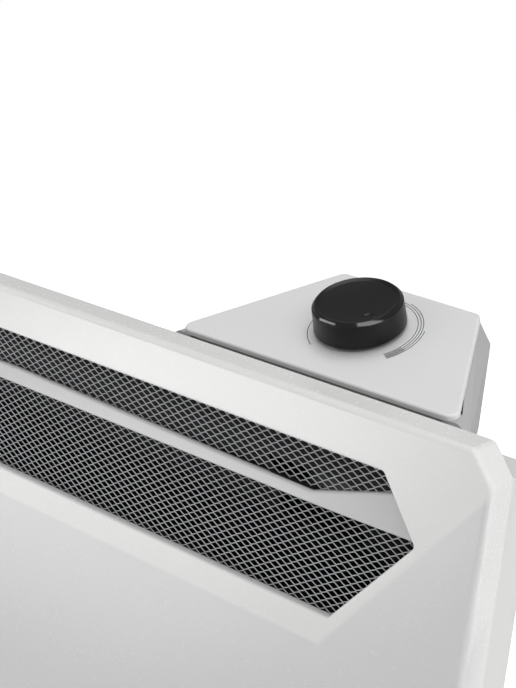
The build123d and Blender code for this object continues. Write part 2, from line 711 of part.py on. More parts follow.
def make_heating_rod():
    """Sheathed rod through the extrusion, with a terminal pin at each end."""
    length = ELEMENT_LENGTH + 2 * ROD_OVERHANG
    piece = rod((-length / 2, ELEMENT_Y, ELEMENT_Z), (1, 0, 0), ROD_RADIUS, length)
    full = length + 2 * ROD_PIN_LENGTH
    return piece + rod((-full / 2, ELEMENT_Y, ELEMENT_Z), (1, 0, 0), ROD_PIN_RADIUS, full)


def make_element_bush(side):
    """Ceramic bush that carries one end of the rod in its bracket."""
    start = side * BRACKET_X
    body = rod((start, ELEMENT_Y, ELEMENT_Z), (side, 0, 0), BUSH_RADIUS, BUSH_LENGTH)
    collar_start = start + side * BRACKET_SHEET
    body += rod((collar_start, ELEMENT_Y, ELEMENT_Z), (side, 0, 0), BUSH_COLLAR_RADIUS, BUSH_COLLAR_LENGTH)
    return body - rod((start - side, ELEMENT_Y, ELEMENT_Z), (side, 0, 0), ROD_RADIUS, BUSH_LENGTH + 2)


def make_element_bracket(side):
    """Angle bracket from the casing's back to the bush."""
    near = CASING_INNER_Y - BRACKET_REACH
    low = ELEMENT_Z - BRACKET_HEIGHT / 2
    high = ELEMENT_Z + BRACKET_HEIGHT / 2
    x0 = side * BRACKET_X
    x1 = x0 + side * BRACKET_SHEET
    outline = [
        (CASING_INNER_Y, low),
        (CASING_INNER_Y, high),
        (CASING_INNER_Y - BRACKET_REACH / 2, high),
        (near, ELEMENT_Z + BRACKET_HEIGHT / 4),
        (near, ELEMENT_Z - BRACKET_HEIGHT / 4),
        (CASING_INNER_Y - BRACKET_REACH / 2, low),
    ]
    piece = bar(outline, min(x0, x1), max(x0, x1))
    foot_x = x0 + side * BRACKET_FOOT
    piece += block(
        (min(x0, foot_x), CASING_INNER_Y - BRACKET_SHEET, low),
        (max(x0, foot_x), CASING_INNER_Y, high),
    )
    piece -= rod((x0 - side, ELEMENT_Y, ELEMENT_Z), (side, 0, 0), BUSH_RADIUS, BRACKET_SHEET + 2)
    for x, z in element_screw_places():
        if x * side > 0:
            start = (x, CASING_INNER_Y - BRACKET_SHEET - 1, z)
            piece -= rod(start, (0, 1, 0), SCREW_SHANK_RADIUS, BRACKET_SHEET + 2)
    return piece


def element_screw_places():
    """Two screws in each bracket's foot, as X and Z."""
    x = BRACKET_X + BRACKET_SHEET + (BRACKET_FOOT - BRACKET_SHEET) / 2
    spread = BRACKET_HEIGHT / 2 - 10
    return [(sx * x, ELEMENT_Z + sz * spread) for sx in (-1, 1) for sz in (-1, 1)]


def make_element_screws():
    """Screws through the brackets' feet into the casing's back."""
    seat_y = CASING_INNER_Y - BRACKET_SHEET
    return [screw((x, seat_y, z), (0, -1, 0), BRACKET_SHEET + CASING_SHEET) for x, z in element_screw_places()]


def make_back_shield():
    """Flat sheet on the casing's back that keeps the heat off it."""
    near = CASING_INNER_Y - CASING_SHEET
    half = GUIDE_LENGTH / 2
    shield = block((-half, near, GUIDE_LOWER_Z), (half, CASING_INNER_Y, GUIDE_BEND_Z))
    return shield - hook_reliefs()


def make_air_guide():
    """Sloping sheet that leads the warm air forwards to the outlet."""
    back = CASING_INNER_Y
    top = CASING_HEIGHT - CASING_SHEET
    front = CASING_FRONT_Y + GUIDE_FRONT_GAP
    outline = [
        (back, GUIDE_BEND_Z),
        (front + CASING_SHEET, top),
        (front, top),
        (back - CASING_SHEET, GUIDE_BEND_Z),
    ]
    guide = bar(outline, -GUIDE_LENGTH / 2, GUIDE_LENGTH / 2)
    relief = SOCKET_FLANGE + 3
    guide -= block(
        (KNOB_X - SOCKET_WIDTH / 2 - relief, FRONT_Y, SOCKET_Z - SOCKET_HEIGHT / 2 - relief),
        (KNOB_X + SOCKET_WIDTH / 2 + relief, WALL_Y, SOCKET_Z + SOCKET_HEIGHT / 2 + relief),
    )
    return guide - hook_reliefs()


def hook_reliefs():
    """Room for the wall bracket's hooks behind the casing's back."""
    reliefs = []
    for side in (-1, 1):
        x = side * (BRACKET_FRAME_WIDTH - BRACKET_STEEL) / 2
        for z in hook_heights():
            notch = Box(BRACKET_STEEL + 3, 12, HOOK_WIDTH + HOOK_RISE + 6)
            reliefs.append(Pos(x, CASING_INNER_Y, z + HOOK_RISE / 2) * notch)
    return reliefs


def make_cutout_bracket():
    """Small shelf on the casing's back, above the element."""
    half = CUTOUT_SHELF_WIDTH / 2
    near = CASING_INNER_Y - CUTOUT_SHELF_REACH
    top = CUTOUT_SHELF_Z + CASING_SHEET
    shelf = block((CUTOUT_X - half, near, CUTOUT_SHELF_Z), (CUTOUT_X + half, CASING_INNER_Y, top))
    foot_low = CUTOUT_SHELF_Z - CUTOUT_SHELF_WIDTH / 2
    shelf += block(
        (CUTOUT_X - half, CASING_INNER_Y - CASING_SHEET, foot_low),
        (CUTOUT_X + half, CASING_INNER_Y, top),
    )
    return shelf


def make_overheat_cutout():
    """Round bimetal switch under the shelf, with its two flat terminals."""
    y = CASING_INNER_Y - CUTOUT_SHELF_REACH / 2
    low = CUTOUT_SHELF_Z - CUTOUT_HEIGHT
    body = rod((CUTOUT_X, y, low), (0, 0, 1), CUTOUT_RADIUS, CUTOUT_HEIGHT)
    body += rod((CUTOUT_X, y, low), (0, 0, 1), CUTOUT_RADIUS + 1.5, CUTOUT_HEIGHT / 3)
    for side in (-1, 1):
        tip = side * (CUTOUT_RADIUS + 7)
        inner = side * (CUTOUT_RADIUS - 1)
        body += block(
            (CUTOUT_X + min(tip, inner), y - 2.4, low + CUTOUT_HEIGHT * 0.6),
            (CUTOUT_X + max(tip, inner), y + 2.4, low + CUTOUT_HEIGHT * 0.6 + 0.8),
        )
    return body


def make_module_socket():
    """Socket inside the casing's back that the control unit plugs into."""
    far = CASING_INNER_Y
    near = far - SOCKET_DEPTH
    body = Pos(KNOB_X, (near + far) / 2, SOCKET_Z) * Box(SOCKET_WIDTH, SOCKET_DEPTH, SOCKET_HEIGHT)
    body += Pos(KNOB_X, far - SOCKET_WALL / 2, SOCKET_Z) * Box(
        SOCKET_WIDTH + 2 * SOCKET_FLANGE, SOCKET_WALL, SOCKET_HEIGHT + 2 * SOCKET_FLANGE
    )
    width = SOCKET_WIDTH - 2 * SOCKET_WALL
    height = SOCKET_HEIGHT - 2 * SOCKET_WALL
    depth = SOCKET_DEPTH - SOCKET_WALL
    return body - Pos(KNOB_X, far - depth / 2, SOCKET_Z) * Box(width, depth, height)


# Wall bracket and spacers


def hook_heights():
    """Centres of the hooks along the bracket's arms."""
    margin = BRACKET_BAR
    return [BRACKET_FRAME_Z + margin, BRACKET_FRAME_Z + BRACKET_FRAME_HEIGHT - margin]


def make_wall_bracket():
    """Steel frame on the wall with two side arms whose hooks reach through the casing's back."""
    half = BRACKET_FRAME_WIDTH / 2
    low = BRACKET_FRAME_Z
    high = low + BRACKET_FRAME_HEIGHT
    frame = block((-half, WALL_Y - BRACKET_STEEL, low), (half, WALL_Y, high))
    frame -= block(
        (-half + BRACKET_BAR, WALL_Y - BRACKET_STEEL - 1, low + BRACKET_BAR),
        (half - BRACKET_BAR, WALL_Y + 1, high - BRACKET_BAR),
    )
    for side in (-1, 1):
        x0 = min(side * half, side * (half - BRACKET_STEEL))
        frame += block((x0, CASING_BACK_Y, low), (x0 + BRACKET_STEEL, WALL_Y, high))
        for z in hook_heights():
            inner = CASING_INNER_Y
            frame += block(
                (x0, inner - BRACKET_STEEL * 2, z - HOOK_WIDTH / 2),
                (x0 + BRACKET_STEEL, CASING_BACK_Y, z + HOOK_WIDTH / 2),
            )
            frame += block(
                (x0, inner - BRACKET_STEEL * 2, z - HOOK_WIDTH / 2),
                (x0 + BRACKET_STEEL, inner, z + HOOK_WIDTH / 2 + HOOK_RISE),
            )
    for sx in (-1, 1):
        for sz in (-1, 1):
            x = sx * BRACKET_HOLE_SPACING_X / 2
            z = (low + high) / 2 + sz * BRACKET_HOLE_SPACING_Z / 2
            frame -= rod((x, WALL_Y - BRACKET_STEEL - 1, z), (0, 1, 0), BRACKET_HOLE_RADIUS, BRACKET_STEEL + 2)
    return frame


def make_wall_spacers():
    """Two plastic stand-offs that keep the bottom of the heater level with the bracket."""
    length = WALL_Y - CASING_BACK_Y
    foot = Cylinder(SPACER_FLANGE_RADIUS, SPACER_FLANGE_HEIGHT, align=(Align.CENTER, Align.CENTER, Align.MIN))
    post = Cone(SPACER_RADIUS + 2, SPACER_RADIUS, length, align=(Align.CENTER, Align.CENTER, Align.MIN))
    places = [Plane(origin=(side * SPACER_X, CASING_BACK_Y, SPACER_Z), z_dir=(0, 1, 0)) for side in (-1, 1)]
    return [place * (foot + post) for place in places]


# Control unit


def plate_corners(grow=0.0):
    """The plate's corners in its own plane, from the front left anticlockwise."""
    return [
        (-PLATE_FRONT_LEFT - grow, -PLATE_FRONT_REACH - grow),
        (PLATE_FRONT_RIGHT + grow, -PLATE_FRONT_REACH - grow),
        (PLATE_REAR_RIGHT + grow, PLATE_REAR_REACH_RIGHT + grow),
        (-PLATE_REAR_LEFT - grow, PLATE_REAR_REACH_LEFT + grow),
    ]


def make_control_plate():
    """Leaning top plate with softened edges, the spindle hole and two posts underneath."""
    face = rounded_polygon(plate_corners(), PLATE_CORNER_RADIUS)
    plate = Pos(0, 0, -PLATE_THICKNESS) * extrude(face, amount=PLATE_THICKNESS)
    top_edges = plate.faces().sort_by(Axis.Z)[-1].edges()
    plate = fillet(top_edges, PLATE_EDGE_RADIUS)
    for side in (-1, 1):
        post = Cylinder(
            THERMOSTAT_POST_RADIUS,
            THERMOSTAT_BRACKET_DROP,
            align=(Align.CENTER, Align.CENTER, Align.MAX),
        )
        plate += Pos(side * THERMOSTAT_POST_SPACING / 2, 0, -PLATE_THICKNESS) * post
    plate -= Cylinder(PLATE_HOLE_RADIUS, 4 * PLATE_THICKNESS)
    return PLATE_PLANE * plate


def plan_point(u, v, w=0.0):
    """A point given on the plate's own axes, in the heater's frame."""
    return PLATE_PLANE.from_local_coords(Vector(u, v, w))


def shoulder_corners():
    """Outline of the housing's shoulder, wider than the plate, where the flare ends."""
    corners = []
    for u, v in plate_corners(-PLATE_OVERHANG):
        top = plan_point(u, v, -PLATE_THICKNESS)
        front = v < 0
        drop = HOUSING_FRONT_SHOULDER - PLATE_THICKNESS if front else HOUSING_REAR_SHOULDER - PLATE_THICKNESS
        side = HOUSING_FLARE if u > 0 else -HOUSING_FLARE
        back = 0.0 if front else HOUSING_REAR_FLARE
        corners.append(Vector(top.X + side, top.Y + back, top.Z - drop))
    return corners


def polygon_face(corners):
    """A flat face through points in space."""
    return Face(Wire.make_polygon(corners))


def flattened(corners, z):
    """The same outline moved straight down to a level."""
    return [Vector(c.X, c.Y, z) for c in corners]


def split_quad(corners):
    """A four-cornered outline as two flat triangles."""
    a, b, c, d = corners
    return [polygon_face([a, b, c]), polygon_face([a, c, d])]


def quad_solid(lower, upper):
    """A closed solid between two four-cornered outlines that may be slightly twisted."""
    faces = split_quad(lower) + split_quad(upper)
    for k in range(4):
        a, b = lower[k], lower[(k + 1) % 4]
        c, d = upper[(k + 1) % 4], upper[k]
        faces += [polygon_face([a, b, c]), polygon_face([a, c, d])]
    return Solid(Shell(faces))


def housing_cavity_corners():
    """Inner outline of the housing on the plate's plane."""
    corners = plate_corners(-PLATE_OVERHANG - HOUSING_WALL)
    front = HOUSING_RECESS_DEPTH / math.cos(LEAN)
    return [(u, v + front if v < 0 else v) for u, v in corners]


def make_control_housing():
    """Moulded body: a flared shoulder under the plate, straight walls and a leg behind the casing."""
    floor = CASING_HEIGHT
    top = [plan_point(u, v, -PLATE_THICKNESS) for u, v in plate_corners(-PLATE_OVERHANG)]
    shoulder = shoulder_corners()
    body = quad_solid(shoulder, top) + quad_solid(flattened(shoulder, floor), shoulder)
    leg_front = CASING_BACK_Y
    leg_low = floor - LEG_BLOCK_DROP
    half = LEG_BLOCK_WIDTH / 2
    body += block((KNOB_X - half, leg_front, leg_low), (KNOB_X + half, leg_front + LEG_BLOCK_DEPTH, floor + 1))
    foot_half = FOOT_PLATE_WIDTH / 2
    body += block(
        (KNOB_X - foot_half, leg_front, leg_low),
        (KNOB_X + foot_half, leg_front + FOOT_PLATE_THICKNESS, leg_low + FOOT_PLATE_HEIGHT),
    )
    cavity_top = [plan_point(u, v, -PLATE_THICKNESS) for u, v in housing_cavity_corners()]
    inner_floor = floor + HOUSING_WALL
    body -= quad_solid(flattened(cavity_top, inner_floor), [c + Vector(0, 0, 4) for c in cavity_top])
    ear = HOUSING_EAR_WIDTH
    front_y = top[0].Y
    body -= block(
        (top[0].X + ear, front_y - 5, floor - 1),
        (top[1].X - ear, front_y + HOUSING_RECESS_DEPTH, PANEL_HEIGHT + KNOB_RISE),
    )
    for x, z in foot_screw_places():
        start = (x, leg_front - 1, z)
        body -= rod(start, (0, 1, 0), SCREW_SHANK_RADIUS, FOOT_PLATE_THICKNESS + 2)
    return body


def foot_screw_places():
    """Screws that hold the control unit's foot plate to the casing's back, as X and Z."""
    reach = LEG_BLOCK_WIDTH / 2 + (FOOT_PLATE_WIDTH - LEG_BLOCK_WIDTH) / 4
    z = CASING_HEIGHT - LEG_BLOCK_DROP + FOOT_PLATE_HEIGHT / 2
    return [(KNOB_X - reach, z), (KNOB_X + reach, z)]


def make_control_screws():
    """Two screws in the foot plate."""
    seat_y = CASING_BACK_Y + FOOT_PLATE_THICKNESS
    grip = FOOT_PLATE_THICKNESS + CASING_SHEET
    return [screw((x, seat_y, z), (0, 1, 0), grip) for x, z in foot_screw_places()]


def make_control_knob():
    """Turned cap with a chamfered rim, a dished top, a finger dimple and a boss for the spindle."""
    rim = KNOB_SHOULDER_RADIUS - KNOB_CHAMFER
    base = KNOB_GAP
    top = KNOB_GAP + KNOB_HEIGHT
    shoulder = top - KNOB_CHAMFER
    ceiling = top - KNOB_DISH_DEPTH - KNOB_TOP_WALL
    inner = KNOB_BASE_RADIUS - KNOB_SKIRT_WALL
    dish = top - KNOB_DISH_DEPTH
    outline = [
        (0, dish),
        (0, ceiling),
        (inner, ceiling),
        (inner, base),
        (KNOB_BASE_RADIUS, base),
        (KNOB_SHOULDER_RADIUS, shoulder),
        (rim, top),
        (rim * KNOB_DISH_FLAT, dish),
    ]
    knob = revolve(Plane.XZ * polygon(outline), Axis.Z)
    knob += Pos(0, 0, base) * Cylinder(
        KNOB_BOSS_RADIUS, ceiling - base + 0.5, align=(Align.CENTER, Align.CENTER, Align.MIN)
    )
    knob -= spindle_shape(SPINDLE_CLEARANCE, 0.0, SPINDLE_ABOVE_PLATE + SPINDLE_CLEARANCE)
    angle = math.radians(DIMPLE_ANGLE)
    place = (DIMPLE_ORBIT * math.cos(angle), DIMPLE_ORBIT * math.sin(angle), dish - DIMPLE_DEPTH)
    knob -= Pos(*place) * Cylinder(
        DIMPLE_RADIUS, KNOB_DISH_DEPTH + DIMPLE_DEPTH, align=(Align.CENTER, Align.CENTER, Align.MIN)
    )
    return PLATE_PLANE * knob


def spindle_shape(grow, low, high):
    """A round bar with one flat, between two heights on the knob's axis."""
    radius = SPINDLE_RADIUS + grow
    shape = Pos(0, 0, low) * Cylinder(radius, high - low, align=(Align.CENTER, Align.CENTER, Align.MIN))
    flat = SPINDLE_RADIUS - SPINDLE_FLAT + grow
    flat_low = max(low, KNOB_GAP)
    return shape - block((-2 * radius, flat, flat_low), (2 * radius, 2 * radius, high + 1))


def thermostat_top():
    """Height of the thermostat's top face on the knob's axis."""
    return -PLATE_THICKNESS - THERMOSTAT_BRACKET_DROP - THERMOSTAT_BRACKET_SHEET


def make_thermostat_spindle():
    """D-section spindle from the thermostat up into the knob."""
    low = thermostat_top() - SPINDLE_DEPTH_IN_BODY
    return PLATE_PLANE * spindle_shape(0.0, low, SPINDLE_ABOVE_PLATE)


def make_thermostat_body():
    """Thermostat block with its threaded bush and side terminals."""
    top = thermostat_top()
    body = Box(
        THERMOSTAT_BODY_LENGTH,
        THERMOSTAT_BODY_WIDTH,
        THERMOSTAT_BODY_HEIGHT,
        align=(Align.CENTER, Align.CENTER, Align.MAX),
    )
    body = Pos(0, 0, top) * fillet(body.edges().filter_by(Axis.Z), 2.0)
    body += Pos(0, 0, top) * Cylinder(
        THERMOSTAT_BUSH_RADIUS,
        THERMOSTAT_BRACKET_SHEET + THERMOSTAT_BUSH_HEIGHT,
        align=(Align.CENTER, Align.CENTER, Align.MIN),
    )
    for side in (-1, 1):
        tab = Box(6, 0.8, 7, align=(Align.CENTER, Align.CENTER, Align.MAX))
        body += Pos(side * 8, 0, top - THERMOSTAT_BODY_HEIGHT) * tab
    bore_length = SPINDLE_DEPTH_IN_BODY + THERMOSTAT_BRACKET_SHEET + THERMOSTAT_BUSH_HEIGHT + 1
    bore = Cylinder(
        SPINDLE_RADIUS + SPINDLE_CLEARANCE, bore_length, align=(Align.CENTER, Align.CENTER, Align.MIN)
    )
    body -= Pos(0, 0, top - SPINDLE_DEPTH_IN_BODY - SPINDLE_CLEARANCE) * bore
    return PLATE_PLANE * body


def make_thermostat_nut():
    """Thin hexagon nut on the bush."""
    seat = thermostat_top() + THERMOSTAT_BRACKET_SHEET
    nut = extrude(RegularPolygon(THERMOSTAT_NUT_ACROSS / 2, 6, major_radius=False), amount=THERMOSTAT_NUT_HEIGHT)
    nut -= Cylinder(THERMOSTAT_BUSH_RADIUS, 3 * THERMOSTAT_NUT_HEIGHT)
    return PLATE_PLANE * (Pos(0, 0, seat) * nut)


def make_thermostat_bracket():
    """Flat steel bridge under the two posts."""
    sheet = Box(
        THERMOSTAT_BRACKET_LENGTH,
        THERMOSTAT_BRACKET_WIDTH,
        THERMOSTAT_BRACKET_SHEET,
        align=(Align.CENTER, Align.CENTER, Align.MIN),
    )
    sheet = fillet(sheet.edges().filter_by(Axis.Z), 3.0)
    sheet -= Cylinder(THERMOSTAT_BUSH_RADIUS, 20)
    for side in (-1, 1):
        sheet -= Pos(side * THERMOSTAT_POST_SPACING / 2, 0, 0) * Cylinder(SCREW_SHANK_RADIUS, 20)
    return PLATE_PLANE * (Pos(0, 0, thermostat_top()) * sheet)


def make_thermostat_screws():
    """Screws from below through the bridge, flush with its upper face."""
    screws = []
    for side in (-1, 1):
        seat = (side * THERMOSTAT_POST_SPACING / 2, 0, thermostat_top())
        screws.append(PLATE_PLANE * screw(seat, (0, 0, -1), THERMOSTAT_BRACKET_SHEET))
    return screws


def make_control_plug():
    """Plug on the leg's front face that reaches through the casing into the socket."""
    width = SOCKET_WIDTH - 2 * SOCKET_WALL - 2 * PLUG_CLEARANCE
    height = SOCKET_HEIGHT - 2 * SOCKET_WALL - 2 * PLUG_CLEARANCE
    near = CASING_BACK_Y - PLUG_DEPTH
    body = Pos(KNOB_X, CASING_BACK_Y - PLUG_DEPTH / 2, SOCKET_Z) * Box(width, PLUG_DEPTH, height)
    body = fillet(body.edges().filter_by(Axis.Y), 2.0)
    for k in (-1, 0, 1):
        start = (KNOB_X + k * CONTACT_PITCH, near - 1, SOCKET_Z)
        body -= rod(start, (0, 1, 0), CONTACT_RADIUS, CONTACT_LENGTH + 1)
    return body


def make_plug_contacts():
    """Three contact pins on the floor of the socket, inside the plug's holes."""
    far = CASING_INNER_Y - SOCKET_DEPTH + SOCKET_WALL
    reach = CASING_BACK_Y - PLUG_DEPTH + CONTACT_LENGTH - far - 0.3
    pins = []
    for k in (-1, 0, 1):
        start = (KNOB_X + k * CONTACT_PITCH, far, SOCKET_Z)
        pins.append(rod(start, (0, 1, 0), CONTACT_RADIUS - 0.2, reach))
    return pins


def make_terminal_block():
    """Three-pole terminal block on the housing's floor."""
    x = KNOB_X - PLATE_FRONT_LEFT * 0.4
    y = KNOB_Y
    floor = CASING_HEIGHT + HOUSING_WALL
    body = Pos(x, y, floor + BLOCK_HEIGHT / 2) * Box(BLOCK_LENGTH, BLOCK_WIDTH, BLOCK_HEIGHT)
    pitch = BLOCK_LENGTH / BLOCK_POLES
    for k in range(BLOCK_POLES):
        px = x + (k - (BLOCK_POLES - 1) / 2) * pitch
        body -= rod((px, y - BLOCK_WIDTH, floor + BLOCK_HEIGHT * 0.4), (0, 1, 0), 2.2, 2 * BLOCK_WIDTH)
        body -= rod((px, y, floor + BLOCK_HEIGHT * 0.6), (0, 0, 1), 2.8, BLOCK_HEIGHT)
    return body


def make_tip_switch():
    """Closed tilt switch on the housing's floor."""
    x = KNOB_X + PLATE_FRONT_RIGHT * 0.45
    floor = CASING_HEIGHT + HOUSING_WALL
    body = Pos(x, KNOB_Y, floor + TIP_SWITCH_HEIGHT / 2) * Box(
        TIP_SWITCH_LENGTH, TIP_SWITCH_WIDTH, TIP_SWITCH_HEIGHT
    )
    return fillet(body.edges().filter_by(Axis.Z), 2.5)


def make_cord_gland():
    """Gland in the leg's underside; the cord itself is left out."""
    x = KNOB_X - LEG_BLOCK_WIDTH / 4
    y = CASING_BACK_Y + LEG_BLOCK_DEPTH / 2
    z = CASING_HEIGHT - LEG_BLOCK_DROP
    gland = rod((x, y, z), (0, 0, -1), GLAND_FLANGE_RADIUS, GLAND_FLANGE_HEIGHT)
    gland += rod((x, y, z), (0, 0, -1), GLAND_RADIUS, GLAND_LENGTH)
    return gland - rod((x, y, z + 1), (0, 0, -1), GLAND_BORE_RADIUS, GLAND_LENGTH + 2)


PIECES = {
    "front_panel": make_front_panel,
    "outlet_frame": make_outlet_frame,
    "upper_grille": lambda: make_grille(True),
    "lower_grille": lambda: make_grille(False),
    "blade_carrier": make_blade_carrier,
    "outlet_blade": make_outlet_blade,
    "rear_casing": make_rear_casing,
    "casing_screws": make_casing_screws,
    "leg_nuts": make_leg_nuts,
    "back_shield": make_back_shield,
    "air_guide": make_air_guide,
    "heating_element": make_heating_element,
    "heating_rod": make_heating_rod,
    "element_bush_left": lambda: make_element_bush(-1),
    "element_bush_right": lambda: make_element_bush(1),
    "element_bracket_left": lambda: make_element_bracket(-1),
    "element_bracket_right": lambda: make_element_bracket(1),
    "element_screws": make_element_screws,
    "cutout_bracket": make_cutout_bracket,
    "overheat_cutout": make_overheat_cutout,
    "module_socket": make_module_socket,
    "wall_bracket": make_wall_bracket,
    "wall_spacers": make_wall_spacers,
    "control_housing": make_control_housing,
    "control_plate": make_control_plate,
    "control_knob": make_control_knob,
    "thermostat_spindle": make_thermostat_spindle,
    "thermostat_body": make_thermostat_body,
    "thermostat_nut": make_thermostat_nut,
    "thermostat_bracket": make_thermostat_bracket,
    "thermostat_screws": make_thermostat_screws,
    "control_plug": make_control_plug,
    "socket_contacts": make_plug_contacts,
    "terminal_block": make_terminal_block,
    "tip_switch": make_tip_switch,
    "cord_gland": make_cord_gland,
    "control_screws": make_control_screws,
}

os.makedirs("parts", exist_ok=True)
for name, make in PIECES.items():
    shape = make()
    if isinstance(shape, list):
        shape = Compound(children=[s for piece in shape for s in piece.solids()])
    export_step(shape, f"parts/{name}.step")
    print(name, len(shape.solids()), round(sum(s.volume for s in shape.solids())))
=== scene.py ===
import math

import bmesh
import bpy
from bpy.props import FloatProperty, FloatVectorProperty, IntProperty, PointerProperty
from mathutils import Matrix, Quaternion, Vector
from mathutils.geometry import tessellate_polygon


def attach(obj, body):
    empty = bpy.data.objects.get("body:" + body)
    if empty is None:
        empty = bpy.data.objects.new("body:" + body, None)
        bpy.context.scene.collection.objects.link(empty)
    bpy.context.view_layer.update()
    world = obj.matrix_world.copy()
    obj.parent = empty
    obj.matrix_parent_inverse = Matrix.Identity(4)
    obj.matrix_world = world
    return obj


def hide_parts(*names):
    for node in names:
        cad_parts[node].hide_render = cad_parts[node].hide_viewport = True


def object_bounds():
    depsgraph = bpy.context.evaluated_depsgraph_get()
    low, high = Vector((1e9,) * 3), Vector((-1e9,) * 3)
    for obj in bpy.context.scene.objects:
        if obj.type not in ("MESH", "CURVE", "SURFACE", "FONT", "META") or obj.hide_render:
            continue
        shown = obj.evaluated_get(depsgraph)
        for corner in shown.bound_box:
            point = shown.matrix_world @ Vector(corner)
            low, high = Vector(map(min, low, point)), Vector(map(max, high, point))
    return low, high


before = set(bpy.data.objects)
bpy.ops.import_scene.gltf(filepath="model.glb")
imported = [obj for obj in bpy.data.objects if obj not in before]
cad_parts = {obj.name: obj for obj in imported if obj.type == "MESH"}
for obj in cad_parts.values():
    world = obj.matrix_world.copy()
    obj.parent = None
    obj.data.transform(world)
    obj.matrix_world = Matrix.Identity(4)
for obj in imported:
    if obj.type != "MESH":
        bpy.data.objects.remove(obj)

bl_info = {
    "name": "Convector heater",
    "version": (1, 0, 0),
    "blender": (4, 5, 0),
    "location": "View3D > Sidebar > Heater",
    "description": "Dresses the solid frame of a wall convector heater with its finishes and fine pieces",
    "category": "Object",
}

CAD_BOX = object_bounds()
MM = 0.001


def to_linear(code):
    """Turns an sRGB hex value into linear red, green and blue."""
    parts = [int(code[k : k + 2], 16) / 255 for k in (1, 3, 5)]
    return tuple(p / 12.92 if p <= 0.04045 else ((p + 0.055) / 1.055) ** 2.4 for p in parts)


# Settings that a user would change


def length(name, description, millimetres):
    """A length setting whose default is given in millimetres."""
    return FloatProperty(
        name=name,
        description=description,
        default=millimetres * MM,
        subtype="DISTANCE",
        unit="LENGTH",
        precision=5,
    )


def colour(name, description, code):
    """A colour setting whose default is an sRGB hex value."""
    return FloatVectorProperty(
        name=name, description=description, default=to_linear(code), subtype="COLOR", size=3, min=0, max=1
    )


class HeaterSizes(bpy.types.PropertyGroup):
    """Sizes of the pieces that are modelled here."""

    panel_width: length("Panel width", "Width of the pressed front panel", 640)
    panel_height: length("Panel height", "Height of the pressed front panel", 413)
    panel_sheet: length("Panel sheet", "Thickness of the front panel's steel", 1.2)
    flange_depth: length("Flange depth", "How far the panel's edges are folded back", 19.2)
    corner_cut_width: length("Corner cut width", "Width of the cut at each corner", 12)
    corner_cut_height: length("Corner cut height", "Height of the cut at each corner", 15)
    corner_rounding: length("Corner rounding", "Radius where the cut meets the straight edges", 5)
    edge_radius: length("Edge radius", "Outside radius of the panel's folded edges", 3.2)
    lip_width: length("Rear lip", "Width of the lip folded inwards behind the flange", 10)
    swell: length("Swell", "How far the lower face stands in front of the neck", 4)
    outlet_bend: length("Outlet bend", "Outside radius of the bend round the air outlet", 1.3)
    outlet_rim: length("Outlet rim", "Depth of the rim folded back round the air outlet", 5)
    mesh_long: length("Mesh long way", "Length of one opening of the expanded metal", 6.7)
    mesh_short: length("Mesh short way", "Height of one opening of the expanded metal", 4.4)
    mesh_strand: length("Mesh strand", "Width of one strand of the expanded metal", 0.55)
    mesh_sheet: length("Mesh sheet", "Thickness of the expanded metal's sheet", 0.35)
    knob_base_radius: length("Dial base radius", "Radius of the dial just above the plate", 24.2)
    knob_shoulder_radius: length("Dial shoulder radius", "Radius of the dial below its chamfer", 23.6)
    knob_height: length("Dial height", "Height of the dial's side and chamfer", 14.6)
    knob_gap: length("Dial gap", "Air gap between the plate and the dial", 2.2)
    knob_chamfer: length("Dial chamfer", "Width and height of the dial's polished chamfer", 1.8)
    knob_facets: IntProperty(name="Dial facets", description="Facets round the dial", default=144, min=24)
    print_line: length("Printed line", "Width of the graduation lines round the dial", 0.38)


class HeaterColours(bpy.types.PropertyGroup):
    """Colours of the finishes."""

    white_coat: colour("White coat", "Powder coat of the front panel's neck and folded edges", "#EDEDEC")
    # The lower face's colour is painted shade: the white coat greyed beyond the creases
    shade_painted_colour: colour("Lower coat", "Powder coat of the front panel beyond its creases", "#DDDDDD")
    # Greyer than the panel's white coat as painted shade of the blade lying in the outlet's recess
    blade_coat_and_painted_shade: colour("Blade coat", "Powder coat of the blade across the outlet", "#CDCDCE")
    casing_coat: colour("Casing coat", "Powder coat of the rear casing", "#E4E4E2")
    grey_coat: colour("Grey coat", "Powder coat of the expanded metal", "#B9BBBD")
    # Also used as painted shade: it darkens the casing's inside, the air guide and the back shield, which
    # lie in shade behind the outlet
    black_coat_and_painted_shade: colour("Black coat", "Heat resistant coat inside the outlet and the casing", "#141415")
    zinc: colour("Zinc", "Zinc plated sheet and screws", "#B4B7BA")
    aluminium: colour("Aluminium", "Bare extruded aluminium", "#C9CBCD")
    sheath: colour("Sheath", "Oxidised steel sheath of the heating rod", "#6F6A66")
    ceramic: colour("Ceramic", "Glazed steatite bushes", "#E9E3D2")
    brass: colour("Brass", "Turned brass pieces", "#C7A355")
    white_plastic: colour("White plastic", "Moulded control plate", "#E9E9E9")
    # Greyer than the plate's plastic as painted shade of the housing's walls beneath the plate
    housing_plastic_and_painted_shade: colour("Housing plastic", "Moulded control housing", "#B6B6B6")
    grey_plastic: colour("Grey plastic", "Moulded wall spacers", "#9A9C9E")
    black_plastic: colour("Black plastic", "Moulded dial, its chamfer and the cord gland", "#0C0C0D")
    inner_plastic: colour("Inner plastic", "Moulded electrical pieces", "#202022")
    ink: colour("Ink", "Printed graduation lines", "#1A1B1C")


class HeaterStudio(bpy.types.PropertyGroup):
    """Camera and light of the studio."""

    lens: FloatProperty(
        name="Focal length", description="Focal length of the camera", default=75.888, unit="CAMERA"
    )
    floor: colour("Floor", "Colour of the plain floor", "#F4F4F4")
    floor_glow: FloatProperty(
        name="Floor glow", description="How bright the floor looks to the camera by itself", default=0.75
    )
    horizon: FloatProperty(
        name="Horizon", description="Strength of the light from the sides and below", default=0.3
    )
    sky: FloatProperty(name="Sky", description="Strength of the light from straight above", default=0.3)


def sizes():
    return bpy.context.scene.heater_sizes


